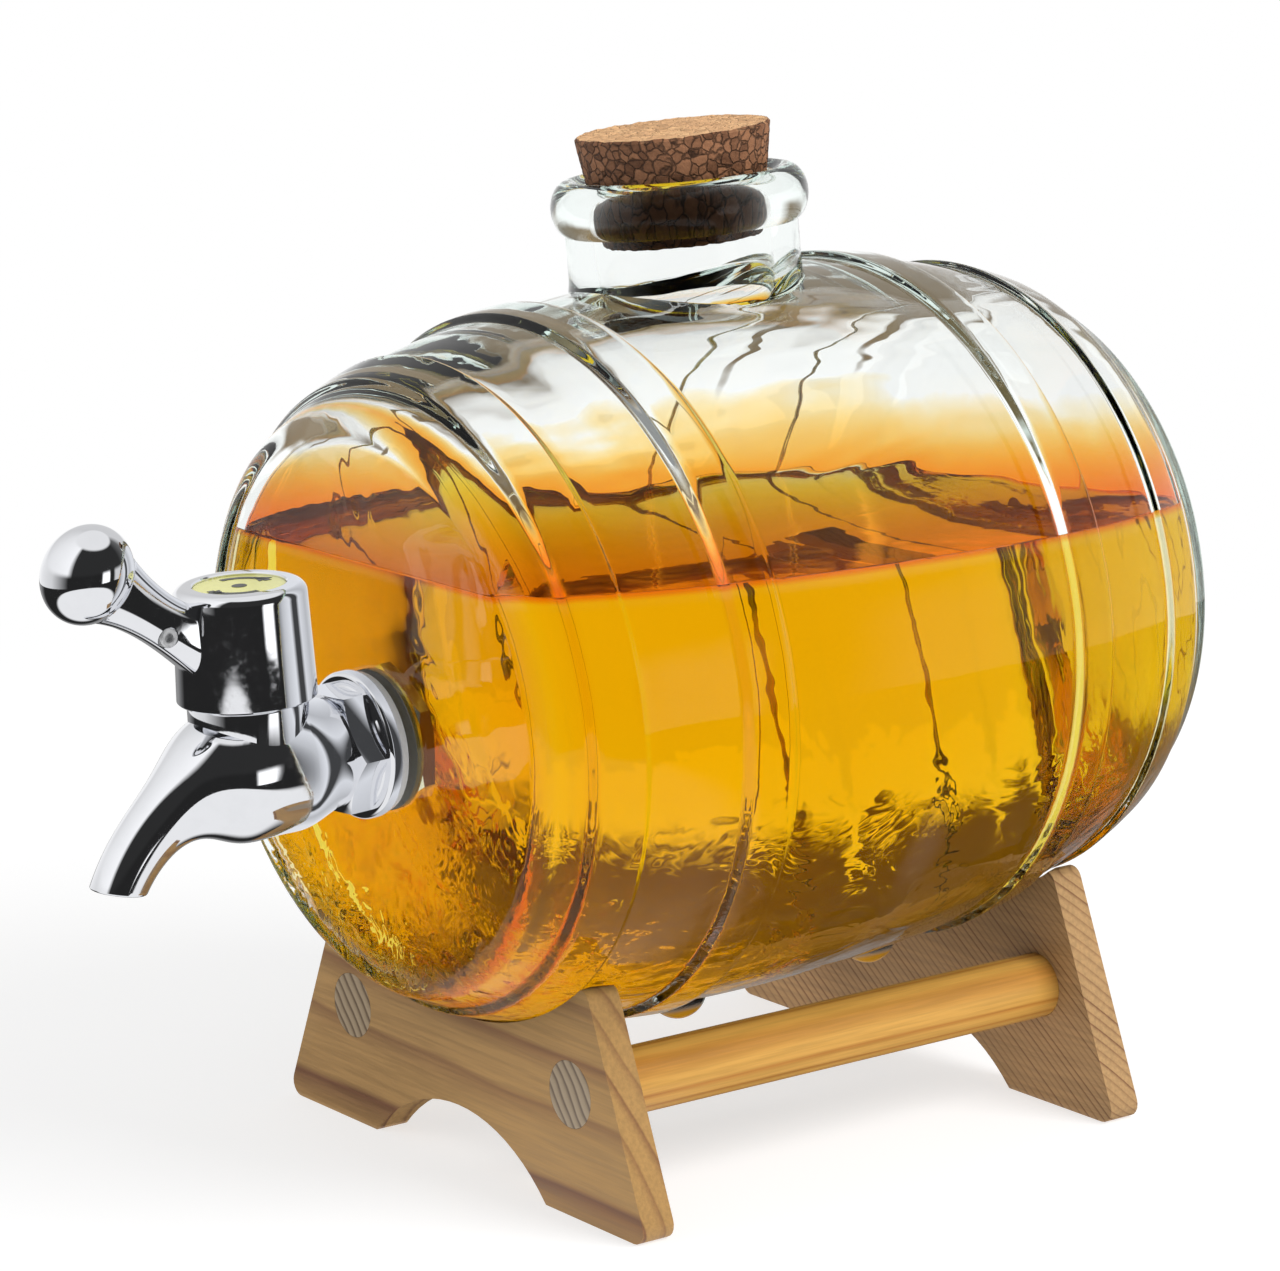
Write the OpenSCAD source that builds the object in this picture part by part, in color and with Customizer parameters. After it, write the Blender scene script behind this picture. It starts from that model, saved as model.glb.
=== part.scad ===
// Glass barrel drink dispenser on a pine stand, with a chromed tap and a cork stopper.
// Millimetres, +Z up, the tap points along -Y, the stand's feet rest on Z = 0.

/* [Glass barrel] */
// Length of the barrel between its two end faces
barrel_length = 151.6; // [130:0.4:190]
// Diameter of the plain glass at the middle of the barrel
barrel_mid_d = 129.8; // [116:0.2:150]
// Diameter that the side would have at the end faces
barrel_end_d = 102.2; // [88:0.2:106]
// Thickness of the glass side
glass_wall = 3.6; // [2.5:0.1:5]
// Thickness of the glass end faces
glass_end_wall = 4.2; // [3:0.1:6]
// Rounding between the side and the end faces
end_corner_r = 5; // [3:0.5:7]
// Rounding of the corner inside the glass
inner_corner_r = 7; // [4:0.5:9]
// Distance from the middle to the centre of each middle hoop
mid_hoop_place = 36.6; // [30:0.2:42]
// Distance from the middle to the centre of each end hoop
end_hoop_place = 63.6; // [60:0.2:65]
// Width of the raised hoops
hoop_width = 7.4; // [4:0.2:9]
// Width of the slope at each edge of a hoop
hoop_edge = 1.2; // [0.6:0.2:2]
// Height of the hoops above the plain glass
hoop_rise = 1.3; // [0.6:0.1:2]

/* [Barrel feet] */
// Distance along the barrel from its middle to each moulded foot
foot_place = 22.3; // [15:0.1:28]
// Angle of each foot from straight down
foot_angle = 9.6; // [6:0.2:18]
// Radius of the round foot
foot_ball_r = 5.4; // [4:0.1:7]
// Height of the foot below the glass
foot_rise = 3.3; // [1.5:0.1:4]

/* [Neck] */
// Place of the neck along the barrel from its middle
neck_offset = 0.9; // [-6:0.1:6]
// Outside diameter of the neck tube
neck_d = 42; // [36:0.2:48]
// Diameter of the mouth
neck_bore_d = 32.2; // [28:0.2:34]
// Height of the lip's top above the barrel's axis
lip_height = 83.3; // [78:0.1:92]
// Height of the rounded lip
lip_tall = 10.2; // [6:0.2:12]
// How far the lip stands out from the neck tube
lip_overhang = 2.2; // [1:0.1:3]
// Spread of the flare where the neck meets the barrel
neck_flare = 1.8; // [1:0.1:4]
// Height of that flare
neck_flare_tall = 6; // [4:0.2:8]

/* [Cork] */
// Diameter of the cork at its top
cork_top_d = 35.6; // [34:0.1:38]
// Length of the cork
cork_length = 20; // [16:0.5:30]
// How far the cork stands above the lip
cork_proud = 8; // [5:0.1:12]
// Gap all round the cork at the mouth's narrowest place
cork_gap = 0.4; // [0.3:0.05:0.6]
// Taper of the cork, as loss of radius for each unit of length
cork_taper = 0.155; // [0.1:0.005:0.2]
// How crooked the cork sits in the neck, in degrees
cork_lean = 1.4; // [0:0.1:2.4]
// Chamfer of the cork's edges
cork_chamfer = 0.6; // [0.3:0.1:1.2]

/* [Stand] */
// Turn of the barrel about its own axis, its neck towards -X, in degrees
barrel_turn = 3.4; // [-5:0.1:5]
// Lean of the barrel towards its tap, in degrees
barrel_tilt = 3.2; // [0:0.2:4]
// Clear height under the barrel's middle, over the table
under_barrel = 26.1; // [23:0.1:32]
// Length of the stand over its two plates
stand_length = 114.4; // [104:0.2:116]
// How far the stand's middle lies ahead of the barrel's middle
stand_ahead = 0.2; // [-2:0.1:3]
// Thickness of each end plate
plate_t = 6.6; // [5:0.2:8]
// Width of each plate at the table
plate_foot_w = 111.6; // [100:0.4:126]
// Lean of the plates' sloping sides from upright, in degrees
plate_lean = 22.4; // [16:0.2:26]
// Width of the arch between the feet
arch_w = 52.8; // [40:0.4:64]
// Height of the arch
arch_h = 11.5; // [8:0.1:13]
// Rounding of the feet's outer corners
foot_corner_r = 2.6; // [1:0.1:4]
// Rounding of the horns beside the cradle
horn_r = 2.6; // [1.5:0.1:3.5]
// Gap between the glass and the seats in the cradles
cradle_gap = 0.35; // [0.3:0.05:0.8]
// Diameter of the dowels
dowel_d = 12; // [8:0.5:14]
// How far the dowels' axes lie inside the plates' feet
dowel_inset = 22; // [20:0.2:26]
// Height of the dowels' axes above the table
dowel_height = 22; // [20:0.2:24]
// Glue gap round each dowel
dowel_gap = 0.05; // [0.02:0.01:0.1]

/* [Tap] */
// Depth of the tap's axis below the barrel's axis
tap_drop = 6; // [0:0.5:12]
// Diameter of the flange against the glass
flange_d = 26; // [22:0.2:30]
// Thickness of the flange
flange_t = 2.4; // [1.6:0.1:3.5]
// Width of the hexagon across its flats
hex_flats = 20.4; // [18:0.2:22]
// Length of the hexagon
hex_length = 5.2; // [3:0.1:6]
// Diameter of the tube behind the valve
tube_d = 19.6; // [17:0.2:20]
// Distance from the flange's front to the valve's axis
valve_reach = 19.8; // [18:0.2:24]
// Diameter of the swelling under the valve
belly_d = 24.2; // [21:0.2:26]
// Diameter of the round collar under the handle
collar_d = 20.7; // [19.8:0.1:21.5]
// Height of the collar's top above the tap's axis
collar_top = 12.4; // [11.4:0.1:13.6]
// Distance from the valve's axis to the spout's outlet
spout_reach = 27.8; // [24:0.2:34]
// Drop from the tap's axis to the spout's outlet
spout_drop = 15.2; // [12:0.1:20]
// Outside diameter of the outlet
outlet_d = 9.7; // [9:0.1:12]
// Diameter of the waterway
waterway_d = 7.6; // [6:0.1:8]
// Slope of the spout's end from level, in degrees
spout_slope = 61; // [45:1:75]
// Lean of the outlet's cut from upright, in degrees
outlet_lean = 13; // [0:1:25]

/* [Valve and handle] */
// Diameter of the turning plug
plug_d = 12.84; // [11:0.02:13.4]
// Running gap round the plug
plug_gap = 0.08; // [0.05:0.01:0.1]
// Depth of the plug below the tap's axis
plug_depth = 8.6; // [7:0.1:9]
// Diameter of the plug's shoulder
shoulder_d = 16.4; // [15:0.1:17]
// Thickness of the plug's shoulder
shoulder_t = 1.5; // [1:0.1:2]
// Thickness of the ring that keeps the plug down
retainer_t = 1.5; // [1:0.1:2]
// Height of the collar's spigot that enters the handle
spigot_tall = 5.6; // [5:0.1:6.5]
// Diameter of that spigot
spigot_d = 19; // [18.4:0.1:19.4]
// Running gap round the spigot and below the handle
handle_gap = 0.3; // [0.2:0.05:0.5]
// Diameter of the handle's cap at its bottom
cap_d = 24; // [22.8:0.1:26]
// Diameter of the handle's cap near its top
cap_top_d = 22.8; // [20:0.1:23.4]
// Height of the handle's cap
cap_tall = 19.9; // [18:0.1:23]
// Rounding of the cap's rim
cap_rim_r = 2; // [1:0.1:2.4]
// Side of the square drive between plug and handle
drive_side = 7; // [5:0.1:7.4]
// Diameter of the sign disc in the cap's top
sign_d = 15.8; // [14:0.1:17]
// Thickness of the sign disc
sign_t = 0.4; // [0.3:0.05:0.7]
// Depth of the recess that holds the sign disc
sign_recess = 0.9; // [0.8:0.05:1.3]
// Distance from the valve's axis to the knob's centre
knob_reach = 28.9; // [25:0.2:36]
// Height of the knob's centre above the tap's axis
knob_height = 39.3; // [36:0.1:44]
// Height of the knob, square to the lever
knob_tall = 17.2; // [14:0.2:20]
// Width of the knob, also its length along the lever
knob_wide = 15.2; // [13:0.2:19]

/* [Seals and lock nut] */
// Diameter of the threaded shank through the glass
shank_d = 16; // [12:0.2:18]
// Gap between the shank and what it passes through
shank_gap = 0.15; // [0.1:0.05:0.5]
// Extra radius of the hole in the glass
glass_hole_gap = 0.4; // [0.3:0.05:1]
// Thickness of the seal outside the glass
outer_seal_t = 1.4; // [1:0.1:2]
// Thickness of the seal inside the glass
inner_seal_t = 1.6; // [1:0.1:2.5]
// Diameter of both seals and their washer
seal_d = 25; // [22.5:0.2:28]
// Thickness of the washer under the nut
washer_t = 1; // [0.6:0.1:1.6]
// Width of the lock nut across its flats
nut_flats = 23; // [21.5:0.2:26]
// Thickness of the lock nut
nut_t = 6; // [4:0.2:8]
// Length of shank left past the nut
shank_spare = 2.5; // [1:0.1:5]

/* [Hidden] */
$fn = 96;
// A small overrun for cuts
over = 1;

// Barrel
half_length = barrel_length / 2;
inner_half_length = half_length - glass_end_wall;
mid_r = barrel_mid_d / 2;
end_r = barrel_end_d / 2;

// Neck, measured up from the barrel's axis
neck_r = neck_d / 2;
bore_r = neck_bore_d / 2;
lip_r = neck_r + lip_overhang;
lip_mid = lip_height - lip_tall / 2;
lip_half_w = (lip_r - bore_r) / 2;
lip_centre_r = (lip_r + bore_r) / 2;
flare_r = neck_r + neck_flare;
flare_top = mid_r + neck_flare;
neck_root_r = side_r(abs(neck_offset) + flare_r) - glass_wall;
neck_start = sqrt(neck_root_r * neck_root_r - flare_r * flare_r) - over;

// Cork
cork_mouth_r = bore_r - cork_gap;
cork_top_r = cork_top_d / 2;
cork_rise = cork_proud + lip_tall / 2;
cork_bottom_r = cork_mouth_r - cork_taper * (cork_length - cork_rise);

// Tap, measured along the barrel's axis from the middle of the barrel
flange_back = half_length + outer_seal_t;
flange_front = flange_back + flange_t;
valve_place = flange_front + valve_reach;
washer_back = inner_half_length - inner_seal_t;
nut_back = washer_back - washer_t;
shank_end = nut_back - nut_t - shank_spare;
ring_hole_d = shank_d + 2 * shank_gap;
shank_chamfer = 1;

// Valve, measured up from the tap's axis
plug_r = plug_d / 2;
plug_bore_r = plug_r + plug_gap;
plug_floor_gap = 0.2;
shoulder_gap = 0.1;
spigot_top = collar_top + spigot_tall;
pocket_low = spigot_top - retainer_t - shoulder_t - 2 * shoulder_gap;
shoulder_low = pocket_low + shoulder_gap;
retainer_low = spigot_top - retainer_t;
ring_groove = 0.9;
ring_tall = 2 * ring_groove;
ring_slack = 0.05;
ring_land = 1.2;
ring_heights = [-waterway_d / 2 - ring_land - ring_tall, waterway_d / 2 + ring_land];

// Handle, measured up from the tap's axis
cap_low = collar_top + handle_gap;
cap_high = cap_low + cap_tall;
sign_floor = cap_high - sign_recess;
drive_gap = 0.05;
drive_stem_r = drive_side / sqrt(2) + 4 * drive_gap;
screw_r = 1.6;
screw_head_r = 3;
screw_head_t = 1.6;
screw_gap = 0.1;
screw_web = 2.6;
screw_bite = 6.5;
screw_end_gap = 0.5;
slot_w = 0.8;
screw_head_low = sign_floor - screw_head_t - screw_gap;
drive_top = screw_head_low - screw_web;
set_screw_r = 1.7;
set_screw_deep = 1.6;
set_screw_proud = 0.2;
set_screw_hole = 10;

// The lever's centre line, from inside the cap to the knob, as forward and upward distances
lever_root_inset = 5;
lever_root_drop = 8.7;
lever_bend = [1.6, -6.7];
lever_knob_pull = [12.5, 9.5];
lever_curve = [
    [cap_top_d / 2 - lever_root_inset, cap_high - lever_root_drop],
    [cap_top_d / 2 + lever_bend[0], cap_high + lever_bend[1]],
    [knob_reach, knob_height] - lever_knob_pull,
    [knob_reach, knob_height]];
lever_share = 0.88;
set_screw_share = 0.55;
set_screw_low = 2.8;
knob_heading = heading(lever_knob_pull);

// The spout's centre line, from under the valve to the outlet, as forward and upward distances
spout_back = 5.7;
spout_pull = [19.7, 1.2];
outlet_pull = 9;
spout_curve = [
    [-spout_back, 0],
    [-spout_back, 0] + spout_pull,
    [spout_reach, -spout_drop] - outlet_pull * [cos(spout_slope), -sin(spout_slope)],
    [spout_reach, -spout_drop]];
outlet_heading = outlet_lean - 90;

// Stand, measured from the middle of the barrel
axis_height = under_barrel + mid_r;
dowel_spread = plate_foot_w - 2 * dowel_inset;
stand_front = -stand_ahead - stand_length / 2;
stand_back = stand_front + stand_length;
arch_r = (arch_w * arch_w / 4 + arch_h * arch_h) / (2 * arch_h);
arch_half_angle = asin(arch_w / 2 / arch_r);
seat_cut = 0.4;

// The finished part is centred front to back between the knob and the rear end of the glass
knob_half = norm([knob_wide / 2 * cos(knob_heading - barrel_tilt),
                  knob_tall / 2 * sin(knob_heading - barrel_tilt)]);
knob_front = -(valve_place + knob_reach) * cos(barrel_tilt)
    - (knob_height - tap_drop) * sin(barrel_tilt) - knob_half;
glass_back = (half_length - end_corner_r) * cos(barrel_tilt)
    + end_arc_r(0, half_length, end_corner_r) * sin(barrel_tilt) + end_corner_r;
barrel_y = -(knob_front + glass_back) / 2;

// Plain radius of the barrel at a place along its axis
function side_r(s) = mid_r - (mid_r - end_r) * (pow(s / half_length, 2) + pow(s / half_length, 4)) / 2;

// Fall of that radius for each unit of length, as an angle
function side_angle(s) =
    atan((mid_r - end_r) * (s / half_length + 2 * pow(s / half_length, 3)) / half_length);

// Share of a hoop's height at a distance from the hoop's centre
function hoop_share(d) = max(0, min(1, (hoop_width / 2 + hoop_edge - abs(d)) / hoop_edge));

// Radius of the glass with its hoops
function glass_r(s) = side_r(s) + hoop_rise * max(hoop_share(abs(s) - mid_hoop_place),
                                                  hoop_share(abs(s) - end_hoop_place));

// Even steps from one value to another, without the last
function spread(from, to, count) = [for (i = [0:count - 1]) from + (to - from) * i / count];

// Places where a hoop's outline bends
function hoop_places(c) = [for (d = [-1, -0.5, 0, 0.5, 1]) c + d * hoop_width / 2];
function hoop_start(c) = c - hoop_width / 2 - hoop_edge;
function hoop_end(c) = c + hoop_width / 2 + hoop_edge;

// Where the end's rounding starts, for a skin that lies deep under the glass
function arc_angle(long, r) = side_angle(long - r / 2);
function arc_start(long, r) = long - r * (1 - sin(arc_angle(long, r)));
function end_arc_r(deep, long, r) = side_r(arc_start(long, r)) - deep - r * cos(arc_angle(long, r));
function end_arc(deep, long, r) = arc([end_arc_r(deep, long, r), long - r], r, arc_angle(long, r), 90, 6);

// Outline of half the glass, from the middle to the end face
function glass_places() = concat(
    spread(0, hoop_start(mid_hoop_place), 5), [hoop_start(mid_hoop_place)],
    hoop_places(mid_hoop_place),
    spread(hoop_end(mid_hoop_place), hoop_start(end_hoop_place), 4), [hoop_start(end_hoop_place)],
    hoop_places(end_hoop_place), [hoop_end(end_hoop_place)]);
function glass_half() = concat([for (s = glass_places()) [glass_r(s), s]],
    end_arc(0, half_length, end_corner_r), [[0, half_length]]);

// Outline of half the space inside
function space_half() = concat(
    [for (s = spread(0, arc_start(inner_half_length, inner_corner_r), 14)) [side_r(s) - glass_wall, s]],
    end_arc(glass_wall, inner_half_length, inner_corner_r), [[0, inner_half_length]]);

// A half outline and its mirror image, as one closed outline
function both_halves(half) = concat([for (i = [len(half) - 1:-1:1]) [half[i][0], -half[i][1]]], half);

// Points on an arc
function arc(centre, r, from, to, count) = [for (i = [0:count])
    let (a = from + (to - from) * i / count) centre + r * [cos(a), sin(a)]];

// Turns what is drawn along Z to lie along Y
module along_y() {
    rotate([-90, 0, 0]) children();
}

// Turns what is drawn along Z to point from the barrel's middle towards the tap
module towards_tap() {
    rotate([90, 0, 0]) children();
}

// Places what belongs to the barrel, drawn round its middle, on the stand
module on_barrel() {
    translate([0, barrel_y, axis_height]) rotate([barrel_tilt, 0, 0]) children();
}

// Turns what the glass carries about the barrel's axis
module turned() {
    rotate([0, -barrel_turn, 0]) children();
}

// Places what lies on the tap's axis
module on_tap() {
    on_barrel() translate([0, 0, -tap_drop]) children();
}

// Places what lies on the valve's upright axis, with Z = 0 at the tap's axis
module on_valve() {
    on_tap() translate([0, -valve_place, 0]) children();
}

// A solid through rings of equally many points
module loft(rings) {
    n = len(rings[0]);
    m = len(rings);
    sides = [for (k = [0:m - 2]) for (i = [0:n - 1])
        let (a = k * n + i, b = k * n + (i + 1) % n) each [[a, b + n, b], [a, a + n, b + n]]];
    start = [for (i = [1:n - 2]) [0, i, i + 1]];
    finish = [for (i = [1:n - 2]) [(m - 1) * n, (m - 1) * n + i + 1, (m - 1) * n + i]];
    polyhedron([for (r = rings) each r], concat(sides, start, finish));
}

// A ring round a centre in the YZ plane, square to a heading in that plane
function ring(centre, heading, half_wide, half_tall, power, count) = [for (i = [0:count - 1])
    let (a = 360 * i / count,
         u = sign(cos(a)) * pow(abs(cos(a)), power),
         v = sign(sin(a)) * pow(abs(sin(a)), power))
    [half_wide * u, centre[0] - half_tall * v * sin(heading), centre[1] + half_tall * v * cos(heading)]];

// A point and a direction on a cubic curve through four control points
function curve(p, t) = pow(1 - t, 3) * p[0] + 3 * pow(1 - t, 2) * t * p[1]
    + 3 * (1 - t) * t * t * p[2] + pow(t, 3) * p[3];
function direction(p, t) = pow(1 - t, 2) * (p[1] - p[0]) + 2 * (1 - t) * t * (p[2] - p[1])
    + t * t * (p[3] - p[2]);
function heading(v) = atan2(v[1], v[0]);

// The barrel is blown glass: a hooped skin, a lipped neck, four feet and a hole for the tap
module glass_barrel() {
    color([0.85, 0.9, 0.87, 0.5]) on_barrel() difference() {
        union() {
            along_y() rotate_extrude() polygon(both_halves(glass_half()));
            turned() translate([0, neck_offset, 0]) rotate_extrude() polygon(neck_outline());
            turned() for (side = [-1, 1], end = [-1, 1]) barrel_foot(side, end);
        }
        along_y() rotate_extrude() polygon(both_halves(space_half()));
        turned() translate([0, neck_offset, 0]) rotate_extrude() polygon(mouth_outline());
        translate([0, 0, -tap_drop]) towards_tap() translate([0, 0, inner_half_length - over])
            cylinder(h = glass_end_wall + 2 * over, r = shank_d / 2 + glass_hole_gap);
    }
}

// Outside of the neck: flare, tube and rounded lip
function neck_outline() =
    let (lip_foot = -acos((neck_r - lip_centre_r) / lip_half_w))
    concat([[0, neck_start], [flare_r, neck_start]],
        [for (a = [0:18:90]) [flare_r - neck_flare * sin(a), flare_top - neck_flare_tall * cos(a)]],
        [for (i = [0:10]) let (a = lip_foot + (90 - lip_foot) * i / 10)
            [lip_centre_r + lip_half_w * cos(a), lip_mid + lip_tall / 2 * sin(a)]],
        [[0, lip_height]]);

// The mouth, cut out of the neck down into the barrel, with the lip's inner rounding
function mouth_outline() = concat(
    [[0, neck_start - over], [bore_r, neck_start - over]],
    [for (a = [180:-15:90]) [lip_centre_r + lip_half_w * cos(a), lip_mid + lip_tall / 2 * sin(a)]],
    [[lip_centre_r, lip_height + over], [0, lip_height + over]]);

// One moulded foot under the barrel
module barrel_foot(side, end) {
    rotate([0, -side * foot_angle, 0])
        translate([0, end * foot_place, -side_r(foot_place) - foot_rise + foot_ball_r])
            sphere(r = foot_ball_r, $fn = 48);
}

// The cork is a chamfered cone that sits a little crooked in the mouth
module cork_stopper() {
    color([0.62, 0.42, 0.27])
        on_barrel() turned() translate([0, neck_offset, lip_mid]) rotate([cork_lean, 0, 0])
            translate([0, 0, cork_rise - cork_length]) rotate_extrude() polygon([
                [0, 0], [cork_bottom_r - cork_chamfer, 0], [cork_bottom_r, cork_chamfer],
                [cork_mouth_r, cork_length - cork_rise],
                [cork_top_r, cork_length - cork_chamfer],
                [cork_top_r - cork_chamfer, cork_length], [0, cork_length]]);
}

// Height of the barrel's axis over the table at a place in front of or behind its middle
function axis_at(y) = axis_height + y * tan(barrel_tilt);

// Radius of the cradle in a plate's front face, before the seat is cut
function cradle_r(y) = (glass_r(y) + cradle_gap) / cos(barrel_tilt) - seat_cut;

// Right half of a plate's outline: foot, sloping side, round horn, then the cradle's arc
function plate_half(cradle_z, r) =
    let (along = [-sin(plate_lean), cos(plate_lean)],
         inward = [-cos(plate_lean), -sin(plate_lean)],
         corner = [plate_foot_w / 2, 0],
         low = corner + along * foot_corner_r * (1 + sin(plate_lean)) / cos(plate_lean)
             + inward * foot_corner_r,
         start = corner + inward * horn_r - [0, cradle_z],
         dot = start * along,
         far = -dot - sqrt(dot * dot - start * start + pow(r + horn_r, 2)),
         tip = start + along * far,
         rise = atan2(tip[1], tip[0]))
    concat(arc(low, foot_corner_r, -90, plate_lean, 6),
        arc(tip + [0, cradle_z], horn_r, plate_lean, 180 + rise, 8),
        arc([0, cradle_z], r, rise, -90, 24));

// A plate's whole outline, with the arch from the left foot to the right
function plate_outline(cradle_z, r) =
    let (right = plate_half(cradle_z, r), n = len(right))
    concat(arc([0, arch_h - arch_r], arch_r, 90 + arch_half_angle, 90 - arch_half_angle, 20), right,
        [for (i = [n - 2:-1:0]) [-right[i][0], right[i][1]]]);

// The barrel's side with the gap round it, between two places, cut from a plate as its seat
module seat(from, to) {
    on_barrel() along_y() rotate_extrude() polygon(concat(
        [[0, from]], [for (s = concat(spread(from, to, 6), [to])) [glass_r(s) + cradle_gap, s]], [[0, to]]));
}

// A pine plate standing at a place along the stand, with its cradle, seat and two dowel holes
module plate(front) {
    color([0.83, 0.66, 0.46]) difference() {
        translate([0, barrel_y + front + plate_t, 0]) rotate([90, 0, 0]) linear_extrude(plate_t)
            polygon(plate_outline(axis_at(front), cradle_r(front)));
        seat(front - plate_t, front + 2 * plate_t);
        for (side = [-1, 1]) translate([side * dowel_spread / 2, barrel_y + front - over, dowel_height])
            along_y() cylinder(h = plate_t + 2 * over, r = dowel_d / 2 + dowel_gap);
    }
}

module front_plate() {
    plate(stand_front);
}

module rear_plate() {
    plate(stand_back - plate_t);
}

// A dowel through both plates, flush with their outer faces
module dowel(side) {
    color([0.88, 0.68, 0.4])
        translate([side * dowel_spread / 2, barrel_y + stand_front, dowel_height])
            along_y() cylinder(h = stand_length, r = dowel_d / 2);
}

module left_dowel() {
    dowel(-1);
}

module right_dowel() {
    dowel(1);
}

// Radius of the swelling before the valve, and of the spout that necks down past it
spout_neck_share = 0.38;
spout_neck_power = 5;
function swell_r(t) = tube_d / 2 + (belly_d - tube_d) / 2 * (1 - cos(180 * t)) / 2;
function spout_r(t) = outlet_d / 2
    + (belly_d - outlet_d) / 2 / (1 + pow(t / spout_neck_share, spout_neck_power));

// A round ring on the spout's line, turned towards the outlet's cut at the end
function spout_ring(t, r, count) =
    let (c = curve(spout_curve, t), run = heading(direction(spout_curve, t)), blend = pow(t, 4))
    ring([-c[0], c[1]], -(run * (1 - blend) + outlet_heading * blend), r, r, 1, count);

// Rings of the spout's waterway, from under the valve to just past the outlet
function waterway_rings() = concat(
    [for (i = [1:9]) spout_ring(i / 10, waterway_d / 2, 24)],
    [ring([-spout_reach - over * cos(outlet_heading), -spout_drop + over * sin(outlet_heading)],
        -outlet_heading, waterway_d / 2, waterway_d / 2, 1, 24)]);

// Rings from the hexagon through the swelling to the outlet
tube_back = valve_reach - hex_length + over;
swell_steps = 7;
spout_steps = 18;
body_sides = 32;
function body_rings() = concat(
    [for (i = [0:swell_steps - 1]) let (r = swell_r(i / swell_steps))
        ring([tube_back + (spout_back - tube_back) * i / swell_steps, 0], 0, r, r, 1, body_sides)],
    [for (i = [0:spout_steps]) spout_ring(i / spout_steps, spout_r(i / spout_steps), body_sides)]);

// The cast tap: shank, flange, hexagon, swelling spout and collar, with its waterways and plug bore
module tap_body() {
    color([0.8, 0.82, 0.84]) on_valve() difference() {
        union() {
            loft(body_rings());
            translate([0, valve_reach, 0]) along_y() tap_turning();
            translate([0, valve_reach + flange_t / 2, 0]) towards_tap()
                hexagon(hex_flats, hex_length + flange_t / 2, 0);
            cylinder(h = collar_top, d = collar_d);
            cylinder(h = spigot_top, d = spigot_d);
        }
        translate([0, 0, -plug_depth - plug_floor_gap])
            cylinder(h = spigot_top + plug_depth + over, r = plug_bore_r);
        translate([0, 0, pocket_low]) cylinder(h = spigot_top, d = shoulder_d + 2 * plug_gap);
        along_y() cylinder(h = valve_place - shank_end + over, d = waterway_d);
        loft(waterway_rings());
    }
}

// A hexagon from Z = 0, its corners turned off at the top, and at the bottom if asked
hex_bevel = 0.9;
module hexagon(flats, tall, bottom_bevel) {
    corner_r = flats / 2 / cos(30);
    intersection() {
        rotate([0, 0, 30]) cylinder(h = tall, r = corner_r, $fn = 6);
        rotate_extrude() polygon([
            [0, 0], [flats / 2 + (corner_r - flats / 2) * (1 - bottom_bevel), 0],
            [corner_r, hex_bevel * bottom_bevel], [corner_r, tall - hex_bevel],
            [flats / 2, tall], [0, tall]]);
    }
}

// Flange and shank, turned round the tap's axis from the flange's front face
module tap_turning() {
    rim = flange_t / 3;
    shank_long = flange_front - shank_end;
    rotate_extrude() polygon(concat(
        [[0, 0], [hex_flats / 2, 0]],
        arc([flange_d / 2 - rim, rim], rim, -90, 0, 4),
        [[flange_d / 2, flange_t], [shank_d / 2, flange_t],
         [shank_d / 2, shank_long - shank_chamfer],
         [shank_d / 2 - shank_chamfer, shank_long],
         [0, shank_long]]));
}

// A flat ring on the tap's axis, from a place along the barrel towards its middle
module flat_ring(place, thick) {
    on_tap() towards_tap() translate([0, 0, place - thick]) difference() {
        cylinder(h = thick, d = seal_d);
        translate([0, 0, -over]) cylinder(h = thick + 2 * over, d = ring_hole_d);
    }
}

module outer_seal() {
    color([0.85, 0.84, 0.78]) flat_ring(flange_back, outer_seal_t);
}

module inner_seal() {
    color([0.85, 0.84, 0.78]) flat_ring(inner_half_length, inner_seal_t);
}

module seal_washer() {
    color([0.75, 0.76, 0.78]) flat_ring(washer_back, washer_t);
}

// The hexagon nut that clamps the tap to the glass
module lock_nut() {
    color([0.78, 0.8, 0.82]) on_tap() towards_tap() translate([0, 0, nut_back - nut_t]) difference() {
        hexagon(nut_flats, nut_t, 1);
        translate([0, 0, -over]) cylinder(h = nut_t + 2 * over, d = ring_hole_d);
    }
}

// A ring pressed into the spigot keeps the plug down
module plug_retainer() {
    color([0.72, 0.7, 0.6]) on_valve() translate([0, 0, retainer_low]) difference() {
        cylinder(h = retainer_t, d = shoulder_d + plug_gap);
        translate([0, 0, -over]) cylinder(h = retainer_t + 2 * over, r = drive_stem_r + plug_gap);
    }
}

// The turning plug with its cross bore, ring grooves, shoulder and square drive
module valve_plug() {
    color([0.78, 0.66, 0.4]) on_valve() difference() {
        union() {
            translate([0, 0, -plug_depth]) cylinder(h = plug_depth + shoulder_low + shoulder_t, r = plug_r);
            translate([0, 0, shoulder_low]) cylinder(h = shoulder_t, d = shoulder_d);
            cylinder(h = spigot_top + handle_gap, r = drive_stem_r);
            translate([-drive_side / 2, -drive_side / 2, 0]) cube([drive_side, drive_side, drive_top]);
        }
        translate([-plug_d, 0, 0]) rotate([0, 90, 0]) cylinder(h = 2 * plug_d, d = waterway_d);
        for (z = ring_heights) translate([0, 0, z]) difference() {
            cylinder(h = ring_tall, r = plug_d);
            translate([0, 0, -over]) cylinder(h = ring_tall + 2 * over, r = plug_r - ring_groove);
        }
        translate([0, 0, drive_top - screw_bite - screw_end_gap])
            cylinder(h = screw_bite + screw_end_gap + over, r = screw_r + screw_gap);
    }
}

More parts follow.
